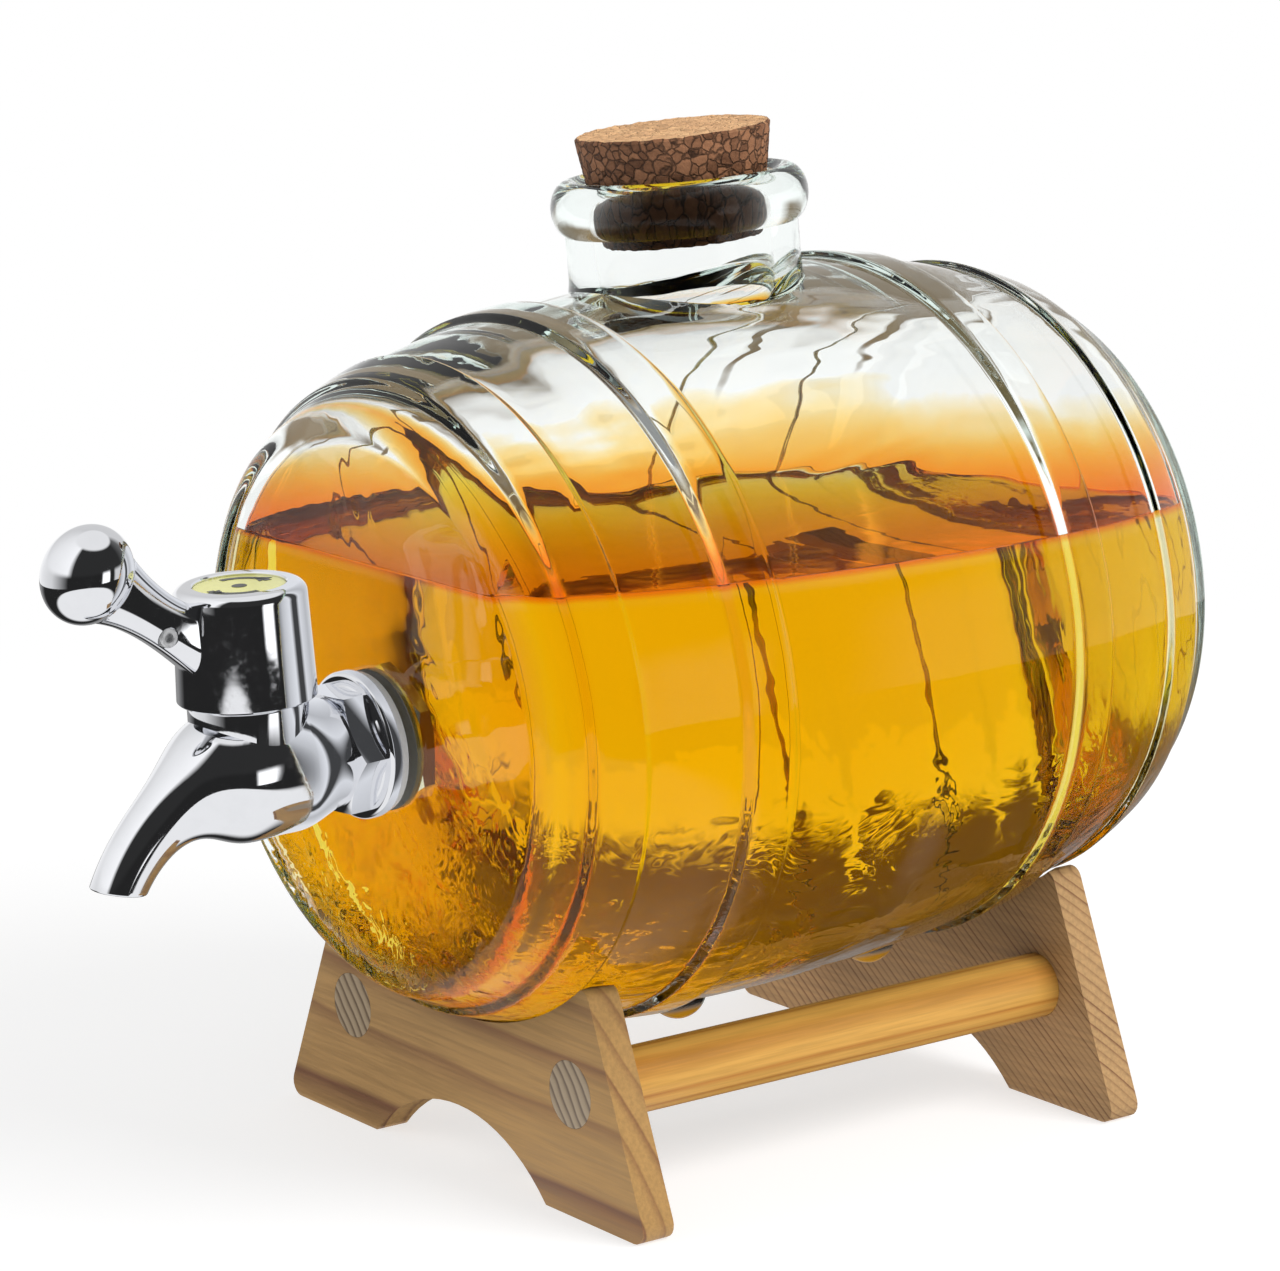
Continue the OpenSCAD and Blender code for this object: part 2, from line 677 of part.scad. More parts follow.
// Two seal rings lie in the plug's grooves, below and above the waterway
module plug_seals() {
    color([0.15, 0.15, 0.15]) on_valve() for (z = ring_heights)
        translate([0, 0, z + ring_slack]) difference() {
            cylinder(h = ring_tall - 2 * ring_slack, r = plug_r + plug_gap / 2);
            translate([0, 0, -over])
                cylinder(h = ring_tall + 2 * over, r = plug_r - ring_groove + ring_slack);
        }
}

// Half sizes of the lever: thick at the cap, waisted, and swelling again into the knob
lever_waist = [3.5, 4.2];
lever_root_swell = [1.6, 3.7];
lever_knob_swell = [1.2, 4.6];
lever_steps = 12;
function lever_half(t) = lever_waist + lever_root_swell * pow(1 - t, 4) + lever_knob_swell * pow(t, 6);
function lever_ring(t) = let (c = curve(lever_curve, t), half = lever_half(t))
    ring([-c[0], c[1]], -heading(direction(lever_curve, t)), half[0], half[1], 0.65, 24);

// The handle is one casting: a cap over the valve, a curved lever and a rounded knob
module tap_handle() {
    color([0.82, 0.84, 0.86]) on_valve() difference() {
        union() {
            rotate_extrude() polygon(concat([[0, cap_low], [cap_d / 2, cap_low]],
                arc([cap_top_d / 2 - cap_rim_r, cap_high - cap_rim_r], cap_rim_r, 0, 90, 6),
                [[0, cap_high]]));
            loft([for (i = [0:lever_steps]) lever_ring(lever_share * i / lever_steps)]);
            knob();
        }
        cap_inside();
        in_lever_flank() cylinder(h = set_screw_hole, r = set_screw_r + screw_gap);
    }
}

// The knob on the lever's end, taller than wide, as rings from its back to its front
knob_steps = 12;
knob_pole = 8;
function knob_ring(a) = ring(
    [-knob_reach, knob_height] + knob_wide / 2 * sin(a) * [-cos(knob_heading), sin(knob_heading)],
    -knob_heading, knob_wide / 2 * cos(a), knob_tall / 2 * cos(a), 1, 24);
module knob() {
    loft([for (i = [0:knob_steps]) knob_ring((knob_pole - 90) * (1 - 2 * i / knob_steps))]);
}

// Space inside the cap: the spigot's room, the square socket, the screw's hole and the sign's recess
module cap_inside() {
    room_top = spigot_top + handle_gap;
    socket = drive_side + 2 * drive_gap;
    translate([0, 0, cap_low - over])
        cylinder(h = room_top - cap_low + over, d = spigot_d + 2 * handle_gap);
    translate([-socket / 2, -socket / 2, cap_low]) cube([socket, socket, drive_top + drive_gap - cap_low]);
    cylinder(h = cap_high, r = screw_r + screw_gap);
    translate([0, 0, screw_head_low]) cylinder(h = cap_tall, r = screw_head_r + screw_gap);
    translate([0, 0, sign_floor]) cylinder(h = sign_recess + over, d = sign_d + 2 * drive_gap);
}

// The screw under the sign holds the handle on the plug
module handle_screw() {
    color([0.6, 0.6, 0.62]) on_valve() difference() {
        union() {
            translate([0, 0, screw_head_low]) cylinder(h = screw_head_t, r = screw_head_r);
            translate([0, 0, drive_top - screw_bite])
                cylinder(h = screw_head_low + screw_head_t - drive_top + screw_bite, r = screw_r);
        }
        translate([-screw_head_r, -slot_w / 2, screw_head_low + screw_head_t / 2])
            cube([2 * screw_head_r, slot_w, screw_head_t]);
    }
}

// The round sign lies in the recess in the cap's top
module sign_disc() {
    color([0.93, 0.9, 0.42]) on_valve() translate([0, 0, sign_floor]) cylinder(h = sign_t, d = sign_d);
}

// Places what is drawn along Z in the lever's flank, from the bottom of the set screw's hole
module in_lever_flank() {
    at = curve(lever_curve, set_screw_share);
    flank = lever_half(set_screw_share)[0];
    translate([flank - set_screw_deep, -at[0], at[1] - set_screw_low]) rotate([0, 90, 0]) children();
}

// A small screw in the lever's flank
module lever_set_screw() {
    color([0.75, 0.76, 0.78]) on_valve() in_lever_flank()
        cylinder(h = set_screw_deep + set_screw_proud, r = set_screw_r);
}

glass_barrel();
cork_stopper();
front_plate();
rear_plate();
left_dowel();
right_dowel();
tap_body();
outer_seal();
inner_seal();
seal_washer();
lock_nut();
plug_retainer();
valve_plug();
plug_seals();
tap_handle();
handle_screw();
sign_disc();
lever_set_screw();
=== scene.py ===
"""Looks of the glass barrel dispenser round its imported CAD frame: glass, drink, cork, stand and tap."""

import math

import bpy
from bpy.props import FloatProperty, FloatVectorProperty, IntProperty, PointerProperty
from bpy.types import Operator, Panel, PropertyGroup
from mathutils import Matrix, Vector


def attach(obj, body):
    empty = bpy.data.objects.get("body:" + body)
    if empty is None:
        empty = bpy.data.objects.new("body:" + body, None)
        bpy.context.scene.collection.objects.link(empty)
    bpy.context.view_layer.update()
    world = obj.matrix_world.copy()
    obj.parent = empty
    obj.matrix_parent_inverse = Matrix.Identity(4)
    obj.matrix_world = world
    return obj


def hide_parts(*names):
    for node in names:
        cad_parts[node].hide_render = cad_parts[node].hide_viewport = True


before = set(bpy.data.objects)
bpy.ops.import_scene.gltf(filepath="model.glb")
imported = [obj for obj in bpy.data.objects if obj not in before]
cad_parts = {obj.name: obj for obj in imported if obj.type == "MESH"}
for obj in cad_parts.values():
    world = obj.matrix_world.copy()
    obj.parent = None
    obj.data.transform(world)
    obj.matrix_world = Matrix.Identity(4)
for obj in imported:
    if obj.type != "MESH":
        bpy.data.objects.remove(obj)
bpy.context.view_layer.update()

bl_info = {
    "name": "Glass Barrel Dispenser",
    "version": (1, 0, 0),
    "blender": (4, 5, 0),
    "location": "View3D > Sidebar > Dispenser",
    "description": "Builds the looks of a glass barrel dispenser round its CAD frame",
    "category": "Object",
}

MM = 0.001
WHITE = (1, 1, 1)
BLACK = (0, 0, 0)
# Points nearer than this many metres are merged
MERGE = 0.000002
PLATE_MERGE = 0.00001

# Where the barrel lies, as in the CAD source
BARREL_TILT = math.radians(3.2)
BARREL_TURN = math.radians(3.4)
BARREL_Y = 29.7519
AXIS_HEIGHT = 91.0
TAP_DROP = 6.0
VALVE_PLACE = 99.4
HALF_LENGTH = 75.8
INNER_HALF_LENGTH = 71.6

ON_BARREL = (Matrix.Translation((0, BARREL_Y * MM, AXIS_HEIGHT * MM))
             @ Matrix.Rotation(BARREL_TILT, 4, "X"))
TURN = Matrix.Rotation(-BARREL_TURN, 4, "Y")
TURNED = ON_BARREL @ TURN
ALONG_Y = Matrix.Rotation(math.radians(-90), 4, "X")
TOWARDS_TAP = Matrix.Rotation(math.radians(90), 4, "X")
ON_TAP = ON_BARREL @ Matrix.Translation((0, 0, -TAP_DROP * MM))
ON_VALVE = ON_TAP @ Matrix.Translation((0, -VALVE_PLACE * MM, 0))


# Modelling helpers: each one works as a modeller would by hand, through Blender's operators

def select_only(*pieces):
    """Leaves edit mode and selects these objects alone, the first one active."""
    if bpy.context.object and bpy.context.object.mode != "OBJECT":
        bpy.ops.object.mode_set(mode="OBJECT")
    bpy.ops.object.select_all(action="DESELECT")
    for piece in pieces:
        piece.select_set(True)
    if pieces:
        bpy.context.view_layer.objects.active = pieces[0]


def edit_all(piece):
    """Goes into edit mode with the whole of a piece selected."""
    select_only(piece)
    bpy.ops.object.mode_set(mode="EDIT")
    bpy.ops.mesh.select_all(action="SELECT")


def smooth(piece, angle):
    """Smooths what is rounder than the angle, in degrees."""
    select_only(piece)
    bpy.ops.object.shade_smooth_by_angle(angle=math.radians(angle))


def named(name):
    """Gives the new active object its name."""
    piece = bpy.context.object
    piece.name = piece.data.name = name
    return piece


def settle(piece, place):
    """Puts a piece modelled at the origin where it belongs and applies that place to its mesh."""
    piece.matrix_world = place
    select_only(piece)
    bpy.ops.object.transform_apply(location=True, rotation=True, scale=True)


def finish_mesh(piece, angle=35):
    """Closes seams, turns normals outward and smooths what is rounder than the angle."""
    edit_all(piece)
    bpy.ops.mesh.remove_doubles(threshold=MERGE)
    bpy.ops.mesh.normals_make_consistent(inside=False)
    smooth(piece, angle)


def lathe(name, outline, sides):
    """Draws an outline of (radius, height) points in mm and spins it round Z."""
    select_only()
    bpy.ops.mesh.primitive_plane_add(size=MM)
    piece = named(name)
    edit_all(piece)
    bpy.ops.mesh.merge(type="CENTER")
    points = [Vector((r * MM, 0, h * MM)) for r, h in outline]
    bpy.ops.transform.translate(value=points[0])
    for before, after in zip(points, points[1:]):
        bpy.ops.mesh.extrude_vertices_move(TRANSFORM_OT_translate={"value": after - before})
    bpy.ops.mesh.select_all(action="SELECT")
    bpy.ops.mesh.spin(steps=sides, angle=2 * math.pi, center=(0, 0, 0), axis=(0, 0, 1))
    finish_mesh(piece)
    return piece


def rod(name, radius, low, high, sides):
    """A plain round rod along Z, in mm."""
    return lathe(name, [(0, low), (radius, low), (radius, high), (0, high)], sides)


def sweep(name, rings, loop):
    """Extrudes a loop through rings of (forward, up, heading, half width, half height) in mm.

    Forward is -Y.
    """
    select_only()
    loop()
    piece = named(name)
    edit_all(piece)
    place, turn, wide, tall = Vector((0, 0, 0)), 0.0, 1.0, 1.0
    for step, (forward, up, heading, half_wide, half_tall) in enumerate(rings):
        target = Vector((0, -forward * MM, up * MM))
        if step:
            bpy.ops.mesh.extrude_edges_move(TRANSFORM_OT_translate={"value": target - place})
        else:
            bpy.ops.transform.translate(value=target - place)
        across = half_wide * MM / wide
        along = half_tall * MM / tall
        bpy.ops.transform.resize(value=(across, along, along), center_override=target)
        bpy.ops.transform.rotate(value=heading - turn, orient_axis="X", center_override=target)
        place, turn, wide, tall = target, heading, half_wide * MM, half_tall * MM
    bpy.ops.mesh.edge_face_add()
    bpy.ops.object.mode_set(mode="OBJECT")
    return piece


def round_loop(sides):
    """A circle of unit radius, square to the Y axis."""
    bpy.ops.mesh.primitive_circle_add(vertices=sides, radius=1, rotation=(math.pi / 2, 0, 0))
    bpy.ops.object.transform_apply(rotation=True)


def squared_loop():
    """A square of unit half side with well rounded corners, square to the Y axis."""
    bpy.ops.mesh.primitive_plane_add(size=2, rotation=(math.pi / 2, 0, 0))
    bpy.ops.object.transform_apply(rotation=True)
    bpy.ops.object.mode_set(mode="EDIT")
    bpy.ops.mesh.bevel(offset=LEVER_CORNER, segments=LEVER_CORNER_STEPS, affect="VERTICES")
    bpy.ops.mesh.delete(type="ONLY_FACE")
    bpy.ops.object.mode_set(mode="OBJECT")


def close_start(piece, test):
    """Fills the open loop whose vertices pass the test."""
    select_only(piece)
    for vertex in piece.data.vertices:
        vertex.select = test(vertex.co)
    for edge in piece.data.edges:
        edge.select = all(piece.data.vertices[i].select for i in edge.vertices)
    for face in piece.data.polygons:
        face.select = False
    bpy.ops.object.mode_set(mode="EDIT")
    bpy.ops.mesh.select_mode(type="EDGE")
    bpy.ops.mesh.edge_face_add()
    bpy.ops.mesh.select_mode(type="VERT")
    bpy.ops.object.mode_set(mode="OBJECT")


def apply_modifier(piece, kind, **settings):
    """Adds a modifier, sets it and applies it."""
    select_only(piece)
    modifier = piece.modifiers.new(kind.title(), kind)
    for key, value in settings.items():
        setattr(modifier, key, value)
    bpy.ops.object.modifier_apply(modifier=modifier.name)


def combine(piece, other, operation):
    """Adds another mesh to a piece, or cuts it away, and removes the other mesh."""
    apply_modifier(piece, "BOOLEAN", operation=operation, solver="EXACT", object=other)
    bpy.data.objects.remove(other)


def ripple(piece, name, size, depth, strength, mid=0.5, group=""):
    """Moves a piece's skin in and out by a soft cloud pattern, in metres."""
    clouds = bpy.data.textures.new(name, "CLOUDS")
    clouds.noise_scale = size
    clouds.noise_depth = depth
    apply_modifier(piece, "DISPLACE", texture=clouds, texture_coords="LOCAL", strength=strength,
                   mid_level=mid, vertex_group=group)


def dress(piece, material, body):
    """Gives a new piece its material, in its one slot, and its body."""
    piece.data.materials.clear()
    piece.data.materials.append(material)
    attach(piece, body)


def dress_node(node, material):
    """Gives a CAD node its material."""
    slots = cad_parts[node].data.materials
    slots.clear()
    slots.append(material)


# Material helpers

def new_material(name):
    """A material with its node tree and shader."""
    material = bpy.data.materials.new(name)
    material.use_nodes = True
    return material, material.node_tree, material.node_tree.nodes["Principled BSDF"]


def join(node, sockets):
    """Joins other nodes' outputs to a node's sockets, or sets the sockets' own values and colours."""
    for key, value in sockets.items():
        socket = node.inputs[key]
        if isinstance(value, bpy.types.NodeSocket):
            node.id_data.links.new(value, socket)
        else:
            socket.default_value = (*value, 1) if socket.type == "RGBA" else value


def add(tree, kind, sockets=None, **settings):
    """A new node with its settings and input sockets."""
    node = tree.nodes.new("ShaderNode" + kind)
    for key, value in settings.items():
        setattr(node, key, value)
    join(node, sockets or {})
    return node


def object_place(tree):
    """Object coordinates."""
    return add(tree, "TexCoord").outputs["Object"]


def place_of(tree, scale=(1, 1, 1), turn=(0, 0, 0), shift=(0, 0, 0)):
    """Object coordinates, scaled, turned and shifted."""
    return add(tree, "Mapping", {"Vector": object_place(tree), "Scale": scale, "Rotation": turn,
                                 "Location": shift}).outputs[0]


def parts_of(tree, vector):
    """A vector's X, Y and Z."""
    return add(tree, "SeparateXYZ", {0: vector}).outputs


def vectors(tree, operation, a, b=(0, 0, 0)):
    """A calculation with vectors, whose result is a number for a length or a distance."""
    outputs = add(tree, "VectorMath", {0: a, 1: b}, operation=operation).outputs
    return outputs[1] if operation in ("LENGTH", "DISTANCE") else outputs[0]


def waver(tree, place, scale, reach, stretch=(1, 1, 1)):
    """A place shifted by a soft noise, up to a reach along each axis."""
    soft = add(tree, "TexNoise", {"Vector": place_of(tree, stretch), "Scale": scale}).outputs[1]
    return vectors(tree, "ADD", place, vectors(tree, "MULTIPLY", soft, reach))


def mixed(a, b, share):
    """A colour between two others."""
    return tuple((1 - share) * p + share * q for p, q in zip(a, b))


def only_surface(tree, shader, closure):
    """Shows this closure instead of the shader."""
    join(tree.nodes["Material Output"], {"Surface": closure.outputs[0]})
    tree.nodes.remove(shader)


def fill_volume(tree, tint, density):
    """Light takes on a tint in the piece's depth."""
    absorb = add(tree, "VolumeAbsorption", {"Color": tint, "Density": density})
    join(tree.nodes["Material Output"], {"Volume": absorb.outputs[0]})


def hide_from(piece, *rays):
    """Makes a piece of the stage unseen by these kinds of rays."""
    for kind in rays:
        setattr(piece, "visible_" + kind, False)


def noise(tree, scale, detail, rough=0.55, distortion=0.0, stretch=(1, 1, 1)):
    """The value of a noise pattern in object coordinates."""
    return add(tree, "TexNoise", {"Vector": place_of(tree, stretch), "Scale": scale, "Detail": detail,
                                  "Roughness": rough, "Distortion": distortion}).outputs[0]


def maths(tree, operation, a, b=0.0, c=0.0):
    """A sum, product or other simple calculation."""
    return add(tree, "Math", {0: a, 1: b, 2: c}, operation=operation).outputs[0]


def fade(tree, value, low, high, to_low=0.0, to_high=1.0):
    """A smooth step between two levels."""
    return add(tree, "MapRange", {0: value, 1: low, 2: high, 3: to_low, 4: to_high},
               interpolation_type="SMOOTHSTEP").outputs[0]


def blend(tree, share, a, b, kind="MIX"):
    """Two colours mixed by a share."""
    return add(tree, "Mix", {0: share, 6: a, 7: b}, data_type="RGBA", blend_type=kind).outputs[2]


def ramp(tree, value, stops):
    """A colour ramp of (place, colour) stops."""
    node = add(tree, "ValToRGB", {0: value})
    while len(node.color_ramp.elements) < len(stops):
        node.color_ramp.elements.new(0.5)
    for element, (place, tint) in zip(node.color_ramp.elements, stops):
        element.position = place
        element.color = (*tint, 1)
    return node.outputs[0]


def bump(shader, height, distance, strength):
    """Joins a height to the shader's normal."""
    node = add(shader.id_data, "Bump", {"Height": height, "Distance": distance, "Strength": strength})
    join(shader, {"Normal": node.outputs[0]})


def mottled_material(name, scale, detail, tones, rough, metal=0.0, depth=0.0):
    """A plain finish whose tone and roughness vary a little over the piece."""
    material, tree, shader = new_material(name)
    tone = noise(tree, scale, detail)
    join(shader, {"Base Color": ramp(tree, tone, tones), "Metallic": metal,
                  "Roughness": fade(tree, tone, 0.2, 0.8, *rough)})
    if depth:
        bump(shader, tone, depth, 0.5)
    return material


# Settings that a user would change

def length(name, description, default):
    """A length property, given in mm."""
    return FloatProperty(name=name, description=description, default=default * MM, unit="LENGTH",
                         precision=4)


def colour(name, description, default):
    """A colour property."""
    return FloatVectorProperty(name=name, description=description, default=default, subtype="COLOR", size=3,
                               min=0, max=1)


class GlassSettings(PropertyGroup):
    mid_width: length("Middle width", "Diameter of the barrel at its middle", 129.8)
    end_width: length("End width", "Diameter of the barrel at its ends", 102.2)
    wall: length("Wall", "Thickness of the glass", 3.6)
    crown: length("Crown", "How much thicker the glass is at its top", 2.0)
    hoop_width: length("Hoop width", "Width of the moulded hoops", 7.4)
    hoop_rise: length("Hoop rise", "Height of the hoops over the glass", 1.3)
    wave: length("Waviness", "How far the inside of the glass waves in and out", 0.9)
    tint: colour("Tint", "Colour that thick glass takes", (0.68, 0.86, 0.79))
    gloss: colour("Gloss", "Strength of the mirror images in the glass", (0.3, 0.3, 0.3))
    tint_density: FloatProperty(name="Tint density", description="How fast the tint deepens in the glass",
                                default=16.0)


class DrinkSettings(PropertyGroup):
    level: length("Level", "Height of the drink above the table", 112.5)
    tint: colour("Tint", "Colour that light takes in the drink", (0.979, 0.8755, 0.03))
    density: FloatProperty(name="Density", description="How fast the colour deepens", default=56.0)
    film: colour("Film", "Colour of the drink that clings to the glass", (0.92, 0.15, 0.0008))
    film_height: length("Film height", "How far the film reaches above the level", 17)


class CorkSettings(PropertyGroup):
    dark: colour("Dark chips", "Darkest chips of the cork's side", (0.075, 0.028, 0.012))
    light: colour("Light chips", "Lightest chips of the cork's side", (0.36, 0.165, 0.08))
    # The top's colour is painted light: the top faces up and is made paler as if lit from above
    top: colour("Top", "Lit top of the cork", (0.9, 0.52, 0.26))
    chip: length("Chip", "Size of the cork's chips", 2.0)


class StandSettings(PropertyGroup):
    pale: colour("Pale wood", "Early wood of the front plate", (0.44, 0.25, 0.083))
    rear: colour("Rear wood", "Early wood of the rear plate", (0.5, 0.3, 0.13))
    dark: colour("Dark wood", "Late wood of the plates", (0.2, 0.082, 0.036))
    ring: length("Rings", "Distance between growth rings", 4.2)
    edge: length("Edge", "Rounding of the plates' edges", 0.7)
    dowel: colour("Dowel", "Pale wood of the dowels", (0.68, 0.36, 0.075))


class TapSettings(PropertyGroup):
    chrome: colour("Chrome", "Colour of the chrome", (0.83, 0.84, 0.87))
    sides: IntProperty(name="Sides", description="Sides of the round parts", default=96, min=24, max=160)
    sign: colour("Sign", "Colour of the round sign", (0.98, 0.96, 0.34))


class StageSettings(PropertyGroup):
    lens: FloatProperty(name="Lens", description="Focal length of the camera in mm", default=127.8)
    key_power: FloatProperty(name="Key", description="Power of the large lamp on the right", default=8.5,
                             subtype="POWER")
    fill_power: FloatProperty(name="Fill", description="Power of the lamp on the left", default=1.2,
                              subtype="POWER")


# Outlines of the glass, in mm, as in the CAD source

HOOP_PLACES = (36.6, 63.6)
HOOP_EDGE = 1.7
OUTER_CORNER = 5.0
INNER_CORNER = 7.0
NECK_OFFSET = 0.9
NECK_R = 21.0
BORE_R = 16.1
NECK_START = 55.1
SHOULDER = 64.9
FLARE = 1.8
FLARE_TALL = 6.0
LIP_HEIGHT = 83.3
LIP_TALL = 10.2
LIP_R = 23.2
LIP_MID = LIP_HEIGHT - LIP_TALL / 2
LIP_CENTRE_R = (LIP_R + BORE_R) / 2
LIP_HALF = (LIP_R - BORE_R) / 2
FOOT_PLACE = 22.3
FOOT_ANGLE = math.radians(9.6)
FOOT_BALL = 5.4
FOOT_RISE = 3.3
SHANK_HOLE_R = 8.4
SHANK_HOLE_ENDS = (66, 80)

# Attributes that mark the glass's inside and its feet, and the drink's amber painted onto the feet as a
# matt colour: a painted refraction of the drink seen through them
INSIDE = "inside_of_glass"
FOOT = "foot_of_glass"
FOOT_FADE = 1.2
PAINTED_DRINK_ON_FEET = (0.85, 0.42, 0.02)
FOOT_MATT = 0.8

# The wavy inside of the glass, in metres from the barrel's axis, and its waves
CALM_HEIGHT = 0.022
WAVY_HEIGHT = -0.006
CALM_SHARE = 0.25
CROWN_HEIGHT = 0.048
CROWN_FADE = 0.025
WAVE_SIZE = 0.026
SWIRL_SIZE = 0.012
SWIRL_SHARE = 0.3
OUTER_WAVE_SIZE = 0.034

# The look of the glass and of the film of drink on it, with heights in metres above the table
GLASS_IOR = 1.5
FILM_UNEVEN = 0.008
FILM_EDGE = 0.0015
WET_EDGE = 0.001
SWIRL_HEIGHTS = (0.085, 0.045)
SWIRL_BUMP = 1.5
MOULD_BUMP = 0.0006


def clamp(value):
    """A value kept between 0 and 1."""
    return max(0.0, min(1.0, value))


def steps(start, end, count):
    """Even steps from start to end, both included."""
    return [start + (end - start) * i / count for i in range(count + 1)]


def side_r(place, glass):
    """Plain radius of the barrel at a place along its axis."""
    share = place / HALF_LENGTH
    mid, end = glass.mid_width / MM / 2, glass.end_width / MM / 2
    return mid - (mid - end) * (share ** 2 + share ** 4) / 2


def side_angle(place, glass):
    """Lean of the barrel's side at a place along its axis."""
    share = place / HALF_LENGTH
    fall = (glass.mid_width - glass.end_width) / MM / 2
    return math.atan(fall * (share + 2 * share ** 3) / HALF_LENGTH)


def hoop_share(place, glass):
    """Height of the hoops at a place, from 0 to 1, with soft edges."""
    half = glass.hoop_width / MM / 2 + HOOP_EDGE
    nearest = min(abs(place - hoop) for hoop in HOOP_PLACES)
    share = clamp((half - nearest) / HOOP_EDGE)
    return share * share * (3 - 2 * share)


def arc(centre_r, centre_h, wide, tall, start, end, count):
    """Points on an ellipse, as (radius, height)."""
    return [(centre_r + wide * math.cos(a), centre_h + tall * math.sin(a))
            for a in steps(start, end, count)]


def end_arc(deep, long, corner, glass):
    """The rounding between the barrel's side and its end."""
    start = side_angle(long - corner / 2, glass)
    turn_in = long - corner * (1 - math.sin(start))
    centre_r = side_r(turn_in, glass) - deep - corner * math.cos(start)
    return arc(centre_r, long - corner, corner, corner, start, math.pi / 2, 14)


def whole_outline(half):
    """A half outline with its mirror image, from end to end."""
    return [(r, -h) for r, h in reversed(half)] + half[1:]


def outer_outline(glass):
    """The barrel's outside with its hoops."""
    places = set(steps(0, 68, 42))
    for hoop in HOOP_PLACES:
        for side in (-1, 1):
            edge = hoop + side * glass.hoop_width / MM / 2
            places.update(round(p, 3) for p in steps(edge, edge + side * HOOP_EDGE, 6))
    corner = end_arc(0, HALF_LENGTH, OUTER_CORNER, glass)
    half = [(side_r(p, glass) + glass.hoop_rise / MM * hoop_share(p, glass), p)
            for p in sorted(places) if p < corner[0][1] - 0.3]
    flat = [(r, HALF_LENGTH) for r in steps(corner[-1][0], 0, 14)][1:]
    return whole_outline(half + corner + flat)


def inner_outline(glass):
    """The space inside the barrel."""
    wall = glass.wall / MM
    corner = end_arc(wall, INNER_HALF_LENGTH, INNER_CORNER, glass)
    half = [(side_r(p, glass) - wall, p) for p in steps(0, corner[0][1] - 1, 36)]
    flat = [(r, INNER_HALF_LENGTH) for r in steps(corner[-1][0], 0, 18)][1:]
    return whole_outline(half + corner + flat)


def neck_outline():
    """The neck's outside: flare, tube and rounded lip."""
    foot = -math.acos((NECK_R - LIP_CENTRE_R) / LIP_HALF)
    flare_top = SHOULDER + FLARE
    flare = [(NECK_R + FLARE * (1 - math.sin(a)), flare_top - FLARE_TALL * math.cos(a))
             for a in steps(0, math.pi / 2, 10)]
    lip = arc(LIP_CENTRE_R, LIP_MID, LIP_HALF, LIP_TALL / 2, foot, math.pi / 2, 26)
    return [(0, NECK_START), (NECK_R + FLARE, NECK_START)] + flare + lip + [(0, LIP_HEIGHT)]


def mouth_outline():
    """The way through the neck, with the lip's inner rounding."""
    lip = arc(LIP_CENTRE_R, LIP_MID, LIP_HALF, LIP_TALL / 2, math.pi, math.pi / 2, 14)
    tube = [(BORE_R, h) for h in steps(NECK_START - 1, LIP_MID, 12)]
    return [(0, NECK_START - 1)] + tube + lip[1:] + [(LIP_CENTRE_R, LIP_HEIGHT + 1), (0, LIP_HEIGHT + 1)]


def inside_of_barrel(name, glass):
    """The wavy space inside the barrel, lying along Y round the origin."""
    space = lathe(name, inner_outline(glass), 160)
    settle(space, ALONG_Y)
    lower = space.vertex_groups.new(name="lower")
    crown = space.vertex_groups.new(name="crown")
    for vertex in space.data.vertices:
        low = clamp((CALM_HEIGHT - vertex.co.z) / (CALM_HEIGHT - WAVY_HEIGHT))
        lower.add([vertex.index], CALM_SHARE + (1 - CALM_SHARE) * low, "REPLACE")
        high = clamp((vertex.co.z - CALM_HEIGHT) / (CROWN_HEIGHT - CALM_HEIGHT))
        from_end = clamp((INNER_HALF_LENGTH * MM - abs(vertex.co.y)) / CROWN_FADE)
        crown.add([vertex.index], high * from_end, "REPLACE")
    apply_modifier(space, "DISPLACE", direction="Z", strength=-glass.crown, mid_level=0.0,
                   vertex_group="crown")
    ripple(space, name + "_waves", WAVE_SIZE, 1, glass.wave, group="lower")
    ripple(space, name + "_swirls", SWIRL_SIZE, 1, glass.wave * SWIRL_SHARE, group="lower")
    return space


